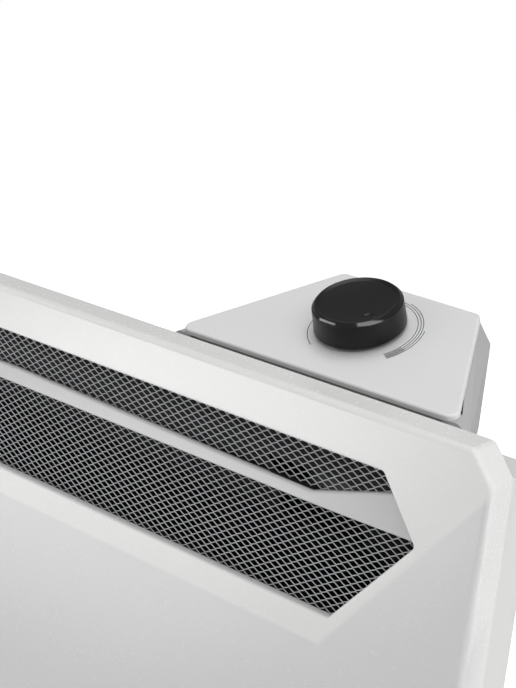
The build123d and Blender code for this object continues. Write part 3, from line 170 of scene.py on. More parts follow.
def colours():
    return bpy.context.scene.heater_colours


def studio():
    return bpy.context.scene.heater_studio


# Nodes and meshes

# Where painted shade greys the front panel's coat on its lower face, kept on its points
PAINTED_SHADE_ATTRIBUTE = "painted_shade_of_lower_face"


def add_node(tree, kind, settings=None, links=None):
    """Adds a node, sets its properties and sockets by name and links its inputs from other outputs."""
    node = tree.nodes.new(kind)
    for name, value in (settings or {}).items():
        if isinstance(name, int) or name in node.inputs:
            node.inputs[name].default_value = value
        else:
            setattr(node, name, value)
    for name, output in (links or {}).items():
        tree.links.new(output, node.inputs[name])
    return node


def new_material(name):
    """A node material with its tree and the place that its patterns follow, in the part's own metres."""
    material = bpy.data.materials.new(name)
    material.use_nodes = True
    tree = material.node_tree
    tree.nodes.clear()
    place = add_node(tree, "ShaderNodeTexCoord").outputs["Object"]
    return material, tree, place


def per_metre(millimetres):
    """The texture scale that gives a pattern this size in the part's own metres."""
    return 1.0 / (millimetres * MM)


def tone(base, share):
    """A darker or lighter tone of a colour, with its alpha."""
    return (*[min(1.0, part * share) for part in base], 1)


def tones(base, dark, light):
    """Settings of a colour mix that runs from a darker to a lighter tone."""
    return {"data_type": "RGBA", 6: tone(base, dark), 7: tone(base, light)}


def around(middle, spread):
    """Settings of a range that lies a spread to both sides of its middle."""
    return {"To Min": middle - spread, "To Max": middle + spread}


def grain(millimetres, detail):
    """Settings of a noise whose lumps have this size in the part's own metres."""
    return {"Scale": per_metre(millimetres), "Detail": detail}


def surface(paint, gloss, skin=None):
    """Links of a surface shader: its colour, its roughness and, where it has one, its bumpy skin."""
    links = {"Base Color": paint.outputs[2], "Roughness": gloss.outputs["Result"]}
    if skin:
        links["Normal"] = skin.outputs["Normal"]
    return links


def powder_coat(name, base, roughness=0.27, peel=1.8, relief=0.002):
    """Polyester powder coat, sprayed and baked.

    The eye gets an even satin skin: soft wide reflections, broken a little by the orange peel of the
    melt, and a colour that hardly changes from one place to the next.
    """
    material, tree, place = new_material(name)
    lumps = add_node(tree, "ShaderNodeTexNoise", grain(peel, 1.5), {"Vector": place})
    clouds = add_node(tree, "ShaderNodeTexNoise", grain(60, 2.0), {"Vector": place})
    paint = add_node(tree, "ShaderNodeMix", tones(base, 0.99, 1.01), {0: clouds.outputs["Fac"]})
    gloss = add_node(tree, "ShaderNodeMapRange", around(roughness, 0.012), {"Value": lumps.outputs["Fac"]})
    skin = add_node(tree, "ShaderNodeBump", {"Distance": relief * MM}, {"Height": lumps.outputs["Fac"]})
    shader = add_node(tree, "ShaderNodeBsdfPrincipled", {"IOR": 1.5}, surface(paint, gloss, skin))
    add_node(tree, "ShaderNodeOutputMaterial", links={"Surface": shader.outputs["BSDF"]})
    return material


def paint_shade_into_coat(material, other, share):
    """Paints shade into a coat: turns its colour to another as far as an output's value says."""
    tree = material.node_tree
    shader = next(node for node in tree.nodes if node.type == "BSDF_PRINCIPLED")
    paint = shader.inputs["Base Color"].links[0].from_socket
    shade = add_node(tree, "ShaderNodeMix", tones(other, 1.0, 1.0), {0: share, 6: paint})
    tree.links.new(shade.outputs[2], shader.inputs["Base Color"])


def coat_with_painted_shade(name, upper, lower):
    """Polyester powder coat of the front panel, greyer beyond the creases of the lower face as painted
    shade.

    The eye gets an even satin skin whose tone steps down softly where the sheet is creased: the shade of the
    lower face is painted into its colour.
    """
    material = powder_coat(name, upper)
    # Where the lower face's painted shade lies
    share = add_node(material.node_tree, "ShaderNodeAttribute", {"attribute_name": PAINTED_SHADE_ATTRIBUTE})
    paint_shade_into_coat(material, lower, share.outputs["Fac"])
    return material


def coat_with_painted_shade_inside(name, outer, inner, centre):
    """Powder coat of a shell, black as painted shade on the side that faces its centre.

    The eye gets the pale coat from behind, and through the outlet a dark cavity whose shade is painted in.
    """
    material = powder_coat(name, outer, roughness=0.42)
    tree = material.node_tree
    skin = add_node(tree, "ShaderNodeNewGeometry")
    away = add_node(
        tree, "ShaderNodeVectorMath", {"operation": "SUBTRACT", 1: centre}, {0: skin.outputs["Position"]}
    )
    facing = add_node(
        tree,
        "ShaderNodeVectorMath",
        {"operation": "DOT_PRODUCT"},
        {0: skin.outputs["True Normal"], 1: away.outputs["Vector"]},
    )
    # Sides that face the centre take the black of painted shade
    within = add_node(
        tree, "ShaderNodeMath", {"operation": "LESS_THAN", 1: 0.0}, {0: facing.outputs["Value"]}
    )
    paint_shade_into_coat(material, inner, within.outputs["Value"])
    return material


def moulded_plastic(name, base, roughness=0.5, spark=0.35, relief=0.006, ior=1.52):
    """Injection moulded plastic with the fine spark texture of its mould.

    The eye gets a dry, even surface whose reflections are softened by grit too fine to see; it is drawn
    at about a third of a millimetre so that it shows at all. Flow from the gate leaves faint clouds.
    """
    material, tree, place = new_material(name)
    sparks = add_node(tree, "ShaderNodeTexNoise", grain(spark, 1.0), {"Vector": place})
    flow = add_node(tree, "ShaderNodeTexNoise", grain(25, 2.0), {"Vector": place})
    resin = add_node(tree, "ShaderNodeMix", tones(base, 0.985, 1.015), {0: flow.outputs["Fac"]})
    gloss = add_node(tree, "ShaderNodeMapRange", around(roughness, 0.05), {"Value": sparks.outputs["Fac"]})
    skin = add_node(tree, "ShaderNodeBump", {"Distance": relief * MM}, {"Height": sparks.outputs["Fac"]})
    shader = add_node(tree, "ShaderNodeBsdfPrincipled", {"IOR": ior}, surface(resin, gloss, skin))
    add_node(tree, "ShaderNodeOutputMaterial", links={"Surface": shader.outputs["BSDF"]})
    return material


def galvanised(name, base, spangle=7.0, roughness=0.42):
    """Hot dipped zinc on sheet steel.

    The eye gets grey metal in frozen crystals some millimetres across, each with its own tone and shine.
    """
    material, tree, place = new_material(name)
    crystals = add_node(tree, "ShaderNodeTexVoronoi", {"Scale": per_metre(spangle)}, {"Vector": place})
    chance = add_node(tree, "ShaderNodeSeparateColor", links={"Color": crystals.outputs["Color"]})
    zinc = add_node(tree, "ShaderNodeMix", tones(base, 0.88, 1.05), {0: chance.outputs["Red"]})
    gloss = add_node(tree, "ShaderNodeMapRange", around(roughness, 0.09), {"Value": chance.outputs["Green"]})
    shader = add_node(tree, "ShaderNodeBsdfPrincipled", {"Metallic": 1.0}, surface(zinc, gloss))
    add_node(tree, "ShaderNodeOutputMaterial", links={"Surface": shader.outputs["BSDF"]})
    return material


def drawn_metal(name, base, line, along, roughness=0.35, relief=0.006):
    """Drawn, turned or extruded metal.

    The eye gets fine lines that run the way the metal left the die or the tool, lighter and darker by
    turns, and a highlight that is stretched across them.
    """
    material, tree, place = new_material(name)
    stretch = [per_metre(line)] * 3
    stretch[along] = per_metre(line * 80)
    lined = add_node(tree, "ShaderNodeMapping", {"Scale": stretch}, {"Vector": place})
    streaks = add_node(
        tree, "ShaderNodeTexNoise", {"Scale": 1.0, "Detail": 2.0}, {"Vector": lined.outputs["Vector"]}
    )
    metal = add_node(tree, "ShaderNodeMix", tones(base, 0.92, 1.04), {0: streaks.outputs["Fac"]})
    gloss = add_node(tree, "ShaderNodeMapRange", around(roughness, 0.08), {"Value": streaks.outputs["Fac"]})
    skin = add_node(tree, "ShaderNodeBump", {"Distance": relief * MM}, {"Height": streaks.outputs["Fac"]})
    shader = add_node(tree, "ShaderNodeBsdfPrincipled", {"Metallic": 1.0}, surface(metal, gloss, skin))
    add_node(tree, "ShaderNodeOutputMaterial", links={"Surface": shader.outputs["BSDF"]})
    return material


def glazed_ceramic(name, base):
    """Steatite with a thin fired glaze.

    The eye gets a warm white body with faint specks under a glossy skin.
    """
    material, tree, place = new_material(name)
    specks = add_node(tree, "ShaderNodeTexNoise", grain(0.8, 2.0), {"Vector": place})
    body = add_node(tree, "ShaderNodeMix", tones(base, 0.94, 1.02), {0: specks.outputs["Fac"]})
    gloss = add_node(tree, "ShaderNodeMapRange", around(0.3, 0.05), {"Value": specks.outputs["Fac"]})
    glaze = {"IOR": 1.56, "Coat Weight": 0.4, "Coat Roughness": 0.08}
    shader = add_node(tree, "ShaderNodeBsdfPrincipled", glaze, surface(body, gloss))
    add_node(tree, "ShaderNodeOutputMaterial", links={"Surface": shader.outputs["BSDF"]})
    return material


def printing_ink(name, base):
    """Pad printed ink.

    The eye gets a dry dark film, a little duller than the plastic below, with a slightly uneven density.
    """
    material, tree, place = new_material(name)
    film = add_node(tree, "ShaderNodeTexNoise", grain(0.5, 1.0), {"Vector": place})
    pigment = add_node(tree, "ShaderNodeMix", tones(base, 0.92, 1.08), {0: film.outputs["Fac"]})
    gloss = add_node(tree, "ShaderNodeMapRange", around(0.6, 0.05), {"Value": film.outputs["Fac"]})
    shader = add_node(tree, "ShaderNodeBsdfPrincipled", {"IOR": 1.48}, surface(pigment, gloss))
    add_node(tree, "ShaderNodeOutputMaterial", links={"Surface": shader.outputs["BSDF"]})
    return material


# The middle of the casing's open front, in the plane of its flange, in metres; the casing's sides that face
# it are painted black as shade
CASING_CENTRE = (0, -0.0323, 0.19)
# The materials made so far
FINISHES = {}


def finish(key):
    """The material of one finish, made once."""
    if key not in FINISHES:
        c = colours()
        makers = {
            # The front panel's coat, with the shade of its lower face painted in
            "front_coat_and_painted_shade": lambda: coat_with_painted_shade(
                "front panel satin powder coat with painted shade", c.white_coat, c.shade_painted_colour
            ),
            # The blade's coat, darkened as painted shade of its recess
            "blade_coat_and_painted_shade": lambda: powder_coat("light grey satin powder coat with painted shade", c.blade_coat_and_painted_shade, roughness=0.3),
            # The casing's coat, painted black inside as shade of the cavity behind the outlet
            "casing_coat": lambda: coat_with_painted_shade_inside(
                "casing satin powder coat with painted shade inside", c.casing_coat, c.black_coat_and_painted_shade, CASING_CENTRE
            ),
            "grey_coat": lambda: powder_coat(
                "grey satin powder coat", c.grey_coat, roughness=0.33, peel=0.8, relief=0.004
            ),
            "black_coat_and_painted_shade": lambda: powder_coat(
                "black coat and painted shade", c.black_coat_and_painted_shade, roughness=0.6, peel=0.9, relief=0.015
            ),
            "zinc": lambda: galvanised("galvanised sheet steel", c.zinc),
            "zinc_screw": lambda: drawn_metal(
                "zinc plated screw steel", c.zinc, line=0.3, along=2, roughness=0.3
            ),
            "aluminium": lambda: drawn_metal(
                "extruded aluminium", c.aluminium, line=0.35, along=0, roughness=0.38
            ),
            "sheath": lambda: drawn_metal(
                "oxidised sheath steel", c.sheath, line=0.3, along=0, roughness=0.45
            ),
            "brass": lambda: drawn_metal("turned brass", c.brass, line=0.25, along=2, roughness=0.28),
            "ceramic": lambda: glazed_ceramic("glazed steatite", c.ceramic),
            "white_plastic": lambda: moulded_plastic(
                "moulded white plastic", c.white_plastic, roughness=0.42
            ),
            # The housing's plastic, darkened as painted shade beneath the plate
            "housing_plastic_and_painted_shade": lambda: moulded_plastic(
                "moulded housing plastic with painted shade", c.housing_plastic_and_painted_shade, roughness=0.55
            ),
            "grey_plastic": lambda: moulded_plastic(
                "moulded grey plastic", c.grey_plastic, roughness=0.55
            ),
            "black_plastic": lambda: moulded_plastic(
                "soft black plastic", c.black_plastic, 0.33, spark=0.3, relief=0.003, ior=1.37
            ),
            "polished_plastic": lambda: moulded_plastic(
                "polished black plastic", c.black_plastic, 0.1, spark=0.3, relief=0.0005, ior=1.62
            ),
            "inner_plastic": lambda: moulded_plastic("moulded heat resistant plastic", c.inner_plastic),
            "ink": lambda: printing_ink("printed black ink", c.ink),
        }
        FINISHES[key] = makers[key]()
    return FINISHES[key]


def coat_node(node, key):
    """Gives a solid of the frame its finish."""
    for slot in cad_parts[node].material_slots:
        slot.link = "OBJECT"
        slot.material = finish(key)


def add_piece(name, mesh, material, replaced=(), body="heater"):
    """Puts a mesh into the scene as a piece that rides on a body."""
    piece = bpy.data.objects.new(name, mesh)
    bpy.context.scene.collection.objects.link(piece)
    mesh.materials.append(material)
    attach(piece, body)
    if replaced:
        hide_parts(*replaced)
    return piece


def mesh_from(name, bm, smooth=True):
    """Turns a bmesh into a mesh with outward faces."""
    bmesh.ops.recalc_face_normals(bm, faces=bm.faces)
    for face in bm.faces:
        face.smooth = smooth
    mesh = bpy.data.meshes.new(name)
    bm.to_mesh(mesh)
    bm.free()
    return mesh


def join_rows(bm, rows):
    """Faces between closed rows of vertices, and one over each end."""
    for here, after in zip(rows, rows[1:]):
        for k in range(len(here)):
            j = (k + 1) % len(here)
            bm.faces.new((here[k], here[j], after[j], after[k]))
    bm.faces.new(rows[-1])
    bm.faces.new(list(reversed(rows[0])))


def thicken(piece, thickness):
    """Gives a skin the thickness of its sheet, behind its front face."""
    solid = piece.modifiers.new("sheet", "SOLIDIFY")
    solid.thickness = thickness
    solid.offset = -1


def weigh_normals(piece):
    """Keeps big faces flat to the eye while their small bends stay round."""
    modifier = piece.modifiers.new("flat faces", "WEIGHTED_NORMAL")
    modifier.keep_sharp = True
    modifier.weight = 90


# Outlines in the front view, as X and Z in metres

# Places that match the solids, in metres
OUTLET_TOP_DROP = 25.3 * MM
OUTLET_HEIGHT = 83.8 * MM
OUTLET_TIP_DROP = 56.0 * MM
OUTLET_TIP_MARGIN = 35.5 * MM
OUTLET_UPPER_MARGIN = 57.4 * MM
OUTLET_LOWER_MARGIN = 79.1 * MM
OUTLET_CORNER_RADIUS = 2.5 * MM
FRONT_Y = CAD_BOX[0][1]
NECK_Y = FRONT_Y + 4.0 * MM
FOLD_DROP = 124.8 * MM
SIDE_DROP = 19.0 * MM
NECK_SLOPE = math.radians(52.0)
CREASE_HALF_WIDTH = 1.1 * MM
SWELL_REACH = 130.0 * MM
SPLIT_DROP = 52.0 * MM


def mirrored(right_half):
    return right_half + [(-x, z) for x, z in reversed(right_half)]


def rounded_loop(corners, radius, grow=0.0, steps=5):
    """An anticlockwise outline with rounded corners, moved outwards, as points with their directions."""
    loop = []
    count = len(corners)
    for k in range(count):
        before, here, after = (Vector(corners[(k + s) % count]) for s in (-1, 0, 1))
        first = (here - before).normalized()
        second = (after - here).normalized()
        normal_in = Vector((first.y, -first.x))
        normal_out = Vector((second.y, -second.x))
        middle = (normal_in + normal_out).normalized()
        turn = -normal_in.angle_signed(normal_out)
        bend = radius if turn > 0 else -radius
        centre = here - middle * (bend / middle.dot(normal_in))
        start = math.atan2(normal_in.y, normal_in.x)
        for s in range(steps + 1):
            angle = start + turn * s / steps
            out = Vector((math.cos(angle), math.sin(angle)))
            loop.append((centre + out * (bend + grow), out))
    return loop


def panel_corners():
    s = sizes()
    side = s.panel_width / 2
    return mirrored(
        [
            (side - s.corner_cut_width, 0),
            (side, s.corner_cut_height),
            (side, s.panel_height - s.corner_cut_height),
            (side - s.corner_cut_width, s.panel_height),
        ]
    )


def outlet_corners():
    """The six corners of the air outlet, anticlockwise from the lower right."""
    s = sizes()
    half = s.panel_width / 2
    top = s.panel_height
    return mirrored(
        [
            (half - OUTLET_LOWER_MARGIN, top - OUTLET_TOP_DROP - OUTLET_HEIGHT),
            (half - OUTLET_TIP_MARGIN, top - OUTLET_TIP_DROP),
            (half - OUTLET_UPPER_MARGIN, top - OUTLET_TOP_DROP),
        ]
    )


def crease_distances(x, z):
    """How far a point lies below the neck's level crease and beyond its slanting crease on that side."""
    s = sizes()
    below = s.panel_height - FOLD_DROP - z
    beyond = (abs(x) - s.panel_width / 2) * math.sin(NECK_SLOPE)
    beyond -= (z - (s.panel_height - SIDE_DROP)) * math.cos(NECK_SLOPE)
    return below, beyond


def swell_height(x, z):
    """How far the lower face stands in front of the neck: it starts at the creases and fades out."""
    below, beyond = crease_distances(x, z)
    both = [max(0.0, d + CREASE_HALF_WIDTH) for d in (below, beyond)]
    distance = (both[0] ** 4 + both[1] ** 4) ** 0.25 - CREASE_HALF_WIDTH
    if distance <= -CREASE_HALF_WIDTH:
        return 0.0
    slope = 2 * sizes().swell / SWELL_REACH
    if distance < CREASE_HALF_WIDTH:
        return slope * (distance + CREASE_HALF_WIDTH) ** 2 / (4 * CREASE_HALF_WIDTH)
    if distance > SWELL_REACH:
        return sizes().swell
    return sizes().swell * (1 - (1 - distance / SWELL_REACH) ** 2)


def painted_shade_amount(x, z):
    """How much painted shade greys the coat: 0 on the neck and 1 on the lower face, with a soft step across
    the creases.
    """
    reach = max(crease_distances(x, z))
    return min(1.0, max(0.0, (reach + CREASE_HALF_WIDTH) / (2 * CREASE_HALF_WIDTH)))


def fill_between(bm, outer, inner, y):
    """A flat sheet between an outline and a hole, as faces, with its two rings of vertices."""
    rings = []
    for loop in (outer, inner):
        rings.append([bm.verts.new((p.x, y, p.y)) for p, _ in loop])
    flat = [[Vector((v.co.x, v.co.z, 0)) for v in ring] for ring in rings]
    corners = rings[0] + rings[1]
    for a, b, c in tessellate_polygon(flat):
        bm.faces.new((corners[a], corners[b], corners[c]))
    return rings


def cut_by_line(bm, point, normal):
    """Cuts every face along a line of the front view."""
    geometry = bm.verts[:] + bm.edges[:] + bm.faces[:]
    bmesh.ops.bisect_plane(bm, geom=geometry, dist=1e-6, plane_co=point, plane_no=normal)


def boundary_ring(bm, start):
    """The open edge that starts at a vertex, in order round the sheet."""
    ring = [start]
    previous = None
    here = start
    while True:
        steps = [e.other_vert(here) for e in here.link_edges if e.is_boundary]
        steps = [v for v in steps if v is not previous]
        previous, here = here, steps[0]
        if here is start:
            return ring
        ring.append(here)


def ring_directions(ring, corners, radius):
    """The outward direction at each point of a rounded outline."""
    directions = []
    count = len(corners)
    sides = []
    for k in range(count):
        here, after = Vector(corners[k]), Vector(corners[(k + 1) % count])
        along = (after - here).normalized()
        sides.append((here, Vector((along.y, -along.x))))
    centres = []
    for k in range(count):
        first, second = sides[k - 1][1], sides[k][1]
        middle = (first + second).normalized()
        centres.append(Vector(corners[k]) - middle * (radius / middle.dot(first)))
    for vertex in ring:
        point = Vector((vertex.co.x, vertex.co.z))
        distances = [(point - here).dot(out) for here, out in sides]
        best = max(range(count), key=lambda k: distances[k])
        direction = sides[best][1]
        for k in range(count):
            away = point - centres[k]
            first, second = sides[k - 1][1], sides[k][1]
            between = first.cross(away) >= -1e-9 and away.cross(second) >= -1e-9
            near = (point - Vector(corners[k])).length < 4 * radius
            if between and near and away.dot(first + second) > 0:
                direction = away.normalized()
        directions.append(direction)
    return directions


def skirt(bm, ring, directions, profile):
    """Carries an open edge on through a profile of outward and backward steps."""
    start = [v.co.copy() for v in ring]
    previous = ring
    for outwards, back in profile:
        row = []
        for place, direction in zip(start, directions):
            x = place.x + direction.x * outwards
            z = place.z + direction.y * outwards
            row.append(bm.verts.new((x, place.y + back, z)))
        for k in range(len(ring)):
            after = (k + 1) % len(ring)
            bm.faces.new((previous[k], previous[after], row[after], row[k]))
        previous = row
    return previous


def quarter_bend(radius, steps, sign=1):
    """Steps round a quarter bend, from the front face to the folded edge; sign -1 bends inwards."""
    profile = []
    for k in range(1, steps + 1):
        angle = math.pi / 2 * k / steps
        profile.append((sign * radius * math.sin(angle), radius * (1 - math.cos(angle))))
    return profile


def level_back(row, y):
    """Sets a row of vertices to one depth."""
    for vertex in row:
        vertex.co.y = y


# Distances beyond the creases, in mm, at which the lower face is cut so that it can swell
CREASE_CUTS = (-1.1, 1.1, 6, 14, 24, 36, 50, 66, 84, 104, 128, 150, 175, 210, 250)
# Places along the width, in metres, of the upright cuts that keep its faces short
UPRIGHT_CUTS = (-0.3, -0.2, -0.1, 0, 0.1, 0.2, 0.3)
# The rear lip's bend, and the straight start of a fold behind its bend
LIP_BEND = 0.9 * MM
FOLD_START = 1.0 * MM


def panel_mesh():
    """The pressed front: flat neck, creases, swelling lower face, folded edges and the outlet's rim."""
    s = sizes()
    bm = bmesh.new()
    outer = rounded_loop(panel_corners(), s.corner_rounding, -s.edge_radius)
    inner = rounded_loop(outlet_corners(), OUTLET_CORNER_RADIUS, s.outlet_bend)
    rings = fill_between(bm, outer, inner, NECK_Y)
    first_outer, first_inner = rings[0][0], rings[1][0]
    fold_z = s.panel_height - FOLD_DROP
    wing = Vector((math.sin(NECK_SLOPE), 0, -math.cos(NECK_SLOPE)))
    start = Vector((s.panel_width / 2, 0, s.panel_height - SIDE_DROP))
    for distance in CREASE_CUTS:
        offset = distance * MM
        cut_by_line(bm, Vector((0, 0, fold_z - offset)), Vector((0, 0, 1)))
        for side in (-1, 1):
            normal = Vector((side * wing.x, 0, wing.z))
            point = Vector((side * start.x, 0, start.z)) + normal * offset
            cut_by_line(bm, point, normal)
    for x in UPRIGHT_CUTS:
        cut_by_line(bm, Vector((x, 0, 0)), Vector((1, 0, 0)))
    outer_ring = boundary_ring(bm, first_outer)
    inner_ring = boundary_ring(bm, first_inner)
    outer_directions = ring_directions(outer_ring, panel_corners(), s.corner_rounding)
    inner_directions = ring_directions(inner_ring, outlet_corners(), OUTLET_CORNER_RADIUS)
    for vertex in bm.verts:
        vertex.co.y = NECK_Y - swell_height(vertex.co.x, vertex.co.z)
    rear = NECK_Y + s.flange_depth
    row = skirt(bm, outer_ring, outer_directions, quarter_bend(s.edge_radius, steps=6))
    below = skirt(bm, row, outer_directions, [(0, FOLD_START)])
    level_back(below, rear - LIP_BEND)
    lip_turn = [(-LIP_BEND * 0.3, LIP_BEND * 0.7), (-LIP_BEND, LIP_BEND)]
    turned = skirt(bm, below, outer_directions, lip_turn)
    skirt(bm, turned, outer_directions, [(LIP_BEND - s.lip_width, 0)])
    row = skirt(bm, inner_ring, inner_directions, quarter_bend(s.outlet_bend, steps=4, sign=-1))
    below = skirt(bm, row, inner_directions, [(0, FOLD_START)])
    level_back(below, NECK_Y + s.outlet_rim)
    mesh = mesh_from("front_panel_skin", bm)
    # How far each point takes the painted shade of the lower face
    share = mesh.attributes.new(PAINTED_SHADE_ATTRIBUTE, "FLOAT", "POINT")
    for vertex in mesh.vertices:
        if vertex.co.y < NECK_Y + FOLD_START:
            share.data[vertex.index].value = painted_shade_amount(vertex.co.x, vertex.co.z)
    return mesh


class HEATER_OT_front_panel(bpy.types.Operator):
    """Builds the pressed and powder coated front panel"""

    bl_idname = "heater.front_panel"
    bl_label = "Front panel"

    def execute(self, context):
        piece = add_piece(
            "front_panel_skin", panel_mesh(), finish("front_coat_and_painted_shade"), ["front_panel"]
        )
        thicken(piece, sizes().panel_sheet)
        weigh_normals(piece)
        return {"FINISHED"}


# Expanded metal

# How steeply the press tilts the strands
MESH_TILT = math.radians(32.0)
MESH_RECESS = 7.0 * MM
# How far the sheet reaches behind the edges of the outlet
MESH_MARGIN = 3.5 * MM
# How far a strand moves towards the next one at their joint, as a share of its width
MESH_BOND = 0.42


def inside(x, z, corners, margin):
    """Whether a point lies within a convex anticlockwise outline or no more than a margin outside it."""
    for (x0, z0), (x1, z1) in zip(corners, corners[1:] + corners[:1]):
        if (x1 - x0) * (z - z0) - (z1 - z0) * (x - x0) < -margin * math.hypot(x1 - x0, z1 - z0):
            return False
    return True


def add_strand(bm, line):
    """One zigzag strand of the sheet: a flat strip, tilted as the press leaves it."""
    s = sizes()
    across = Vector((0, math.sin(MESH_TILT), math.cos(MESH_TILT)))
    through = Vector((0, math.cos(MESH_TILT), -math.sin(MESH_TILT)))
    half = across * (s.mesh_strand / 2)
    thick = through * (s.mesh_sheet / 2)
    section = ((half, thick), (-half, thick), (-half, -thick), (half, -thick))
    rows = [[bm.verts.new(place + a + b) for a, b in section] for place in line]
    join_rows(bm, rows)


def expanded_metal(name, corners):
    """Expanded metal within an outline: zigzag strands that touch where their corners meet."""
    s = sizes()
    bm = bmesh.new()
    step_x = s.mesh_long / 2
    step_z = s.mesh_short / 2
    y = NECK_Y + MESH_RECESS
    low = min(z for _, z in corners) - MESH_MARGIN
    high = max(z for _, z in corners) + MESH_MARGIN
    reach = max(x for x, _ in corners) + MESH_MARGIN
    columns = int(reach / step_x) + 1
    bond = s.mesh_strand * MESH_BOND
    for row in range(int((high - low) / step_z) + 1):
        line = []
        for column in range(-columns, columns + 1):
            up = (row + column) % 2
            z = low + (row + up) * step_z + (-bond if up else bond)
            x = column * step_x
            if inside(x, z, corners, MESH_MARGIN):
                line.append(Vector((x, y, z)))
                continue
            if len(line) > 1:
                add_strand(bm, line)
            line = []
        if len(line) > 1:
            add_strand(bm, line)
    return mesh_from(name, bm, smooth=False)


def outlet_part(level, above):
    """The outlet's outline above or below a level."""
    corners = outlet_corners()
    kept = []
    sign = 1 if above else -1
    for (x0, z0), (x1, z1) in zip(corners, corners[1:] + corners[:1]):
        if sign * (z0 - level) >= 0:
            kept.append((x0, z0))
        if (z0 - level) * (z1 - level) < 0:
            share = (level - z0) / (z1 - z0)
            kept.append((x0 + share * (x1 - x0), level))
    return kept


# Blade

# The blade's outline, from the tip to the middle: X, and how far below the panel's top edge
BLADE_HALF = (
    (283.4 * MM, 55.8 * MM),
    (270.9 * MM, 37.6 * MM),
    (266.0 * MM, 36.2 * MM),
    (221.3 * MM, 49.4 * MM),
    (0.0, 46.2 * MM),
)
BLADE_RECESS = 2.0 * MM
BLADE_BEND = 1.3 * MM
BLADE_CORNER = 1.56 * MM
BLADE_RETURN = 1.6 * MM
BLADE_SHEET = 1.0 * MM
BLADE_LEAN = math.radians(4.0)
BLADE_FLARE_START = 215.0 * MM
BLADE_FLARE_DEPTH = 2.4 * MM
BLADE_FLARE_CURVE = 1.5
# Upright cuts, in mm, that let the blade's ends bend: the outermost one and the spacing
BLADE_CUT_REACH = 280
BLADE_CUT_STEP = 7


def blade_mesh():
    """The blade across the outlet: a pressed strip with rounded edges whose flared ends turn inwards."""
    top = sizes().panel_height
    half = [(x, top - drop) for x, drop in BLADE_HALF]
    corners = half + [(-x, z) for x, z in reversed(half[:-1])]
    loop = rounded_loop(corners, BLADE_CORNER, -BLADE_BEND, steps=4)
    bm = bmesh.new()
    ring = [bm.verts.new((p.x, 0, p.y)) for p, _ in loop]
    bm.faces.new(ring)
    for x in range(-BLADE_CUT_REACH, BLADE_CUT_REACH + 1, BLADE_CUT_STEP):
        cut_by_line(bm, Vector((x * MM, 0, 0)), Vector((1, 0, 0)))
    outline = boundary_ring(bm, ring[0])
    directions = blade_directions(outline, loop)
    row = skirt(bm, outline, directions, quarter_bend(BLADE_BEND, steps=5))
    skirt(bm, row, directions, [(0, BLADE_RETURN)])
    tip, tip_drop = BLADE_HALF[0]
    base = top - tip_drop
    for vertex in bm.verts:
        beyond = max(0.0, abs(vertex.co.x) - BLADE_FLARE_START)
        flare = BLADE_FLARE_DEPTH * (beyond / (tip - BLADE_FLARE_START)) ** BLADE_FLARE_CURVE
        lean = (vertex.co.z - base) * math.tan(BLADE_LEAN)
        vertex.co.y += NECK_Y + BLADE_RECESS + flare + lean
    return mesh_from("outlet_blade_skin", bm)


def blade_directions(outline, loop):
    """The outward direction at each point of the blade's edge, from the nearest stretch of its outline."""
    directions = []
    count = len(loop)
    for vertex in outline:
        here = Vector((vertex.co.x, vertex.co.z))
        best = None
        for k in range(count):
            (a, out_a), (b, out_b) = loop[k], loop[(k + 1) % count]
            run = b - a
            share = 0.0
            if run.length >= 1e-9:
                share = min(1.0, max(0.0, (here - a).dot(run) / run.length_squared))
            away = (here - a - run * share).length
            if best is None or away < best[0] - 1e-9:
                best = (away, out_a.lerp(out_b, share).normalized())
        directions.append(best[1])
    return directions


class HEATER_OT_outlet(bpy.types.Operator):
    """Builds the expanded metal and the blade of the air outlet and finishes the frame round them"""

    bl_idname = "heater.outlet"
    bl_label = "Air outlet"

    def execute(self, context):
        level = sizes().panel_height - SPLIT_DROP
        for name, node, above in (
            ("upper_mesh", "upper_grille", True),
            ("lower_mesh", "lower_grille", False),
        ):
            sheet = expanded_metal(name, outlet_part(level, above))
            add_piece(name, sheet, finish("grey_coat"), [node])
        coat_node("outlet_frame", "black_coat_and_painted_shade")
        coat_node("blade_carrier", "black_coat_and_painted_shade")
        piece = add_piece(
            "outlet_blade_skin", blade_mesh(), finish("blade_coat_and_painted_shade"), ["outlet_blade"]
        )
        thicken(piece, BLADE_SHEET)
        weigh_normals(piece)
        return {"FINISHED"}


# Dial, plate and housing

DIAL_LEAN = math.radians(21.5)
DIAL_PLACE = Vector((0.1967, 0.0122, 0.4302))
# The finger dimple: its direction and distance from the axis, its radius, its wall and its depth
DIMPLE_ANGLE = math.radians(-34.0)
DIMPLE_REACH = 16.2 * MM
DIMPLE_RADIUS = 3.5 * MM
DIMPLE_WALL = 1.3 * MM
DIMPLE_DEPTH = 0.5 * MM
# The dial's section
KNOB_WALL = 2.0 * MM
KNOB_CAVITY_DROP = 4.6 * MM
KNOB_FOOT_BEVEL = 0.3 * MM
KNOB_RIM_WIDTH = 1.6 * MM
KNOB_RIM_DROP = 0.45 * MM
KNOB_DISH = 1.3 * MM
KNOB_RING_STEP = 0.5 * MM
KNOB_INNER_RADIUS = 1.4 * MM
# Points that soften the chamfer's lower edge, against the shoulder and the chamfer's foot, and its
# upper edge, against the rim and the top
KNOB_LOWER_EDGE = ((0.05 * MM, -0.35 * MM), (-0.1 * MM, 0.0))
KNOB_UPPER_EDGE = ((0.15 * MM, -0.15 * MM), (-0.15 * MM, 0.0), (-0.6 * MM, -0.05 * MM))


def on_plate(u, v, w):
    """A point given along the plate, up the plate and above it, in the part's frame."""
    up = Vector((0, math.cos(DIAL_LEAN), math.sin(DIAL_LEAN)))
    out = Vector((0, -math.sin(DIAL_LEAN), math.cos(DIAL_LEAN)))
    return DIAL_PLACE + Vector((u, 0, 0)) + up * v + out * w


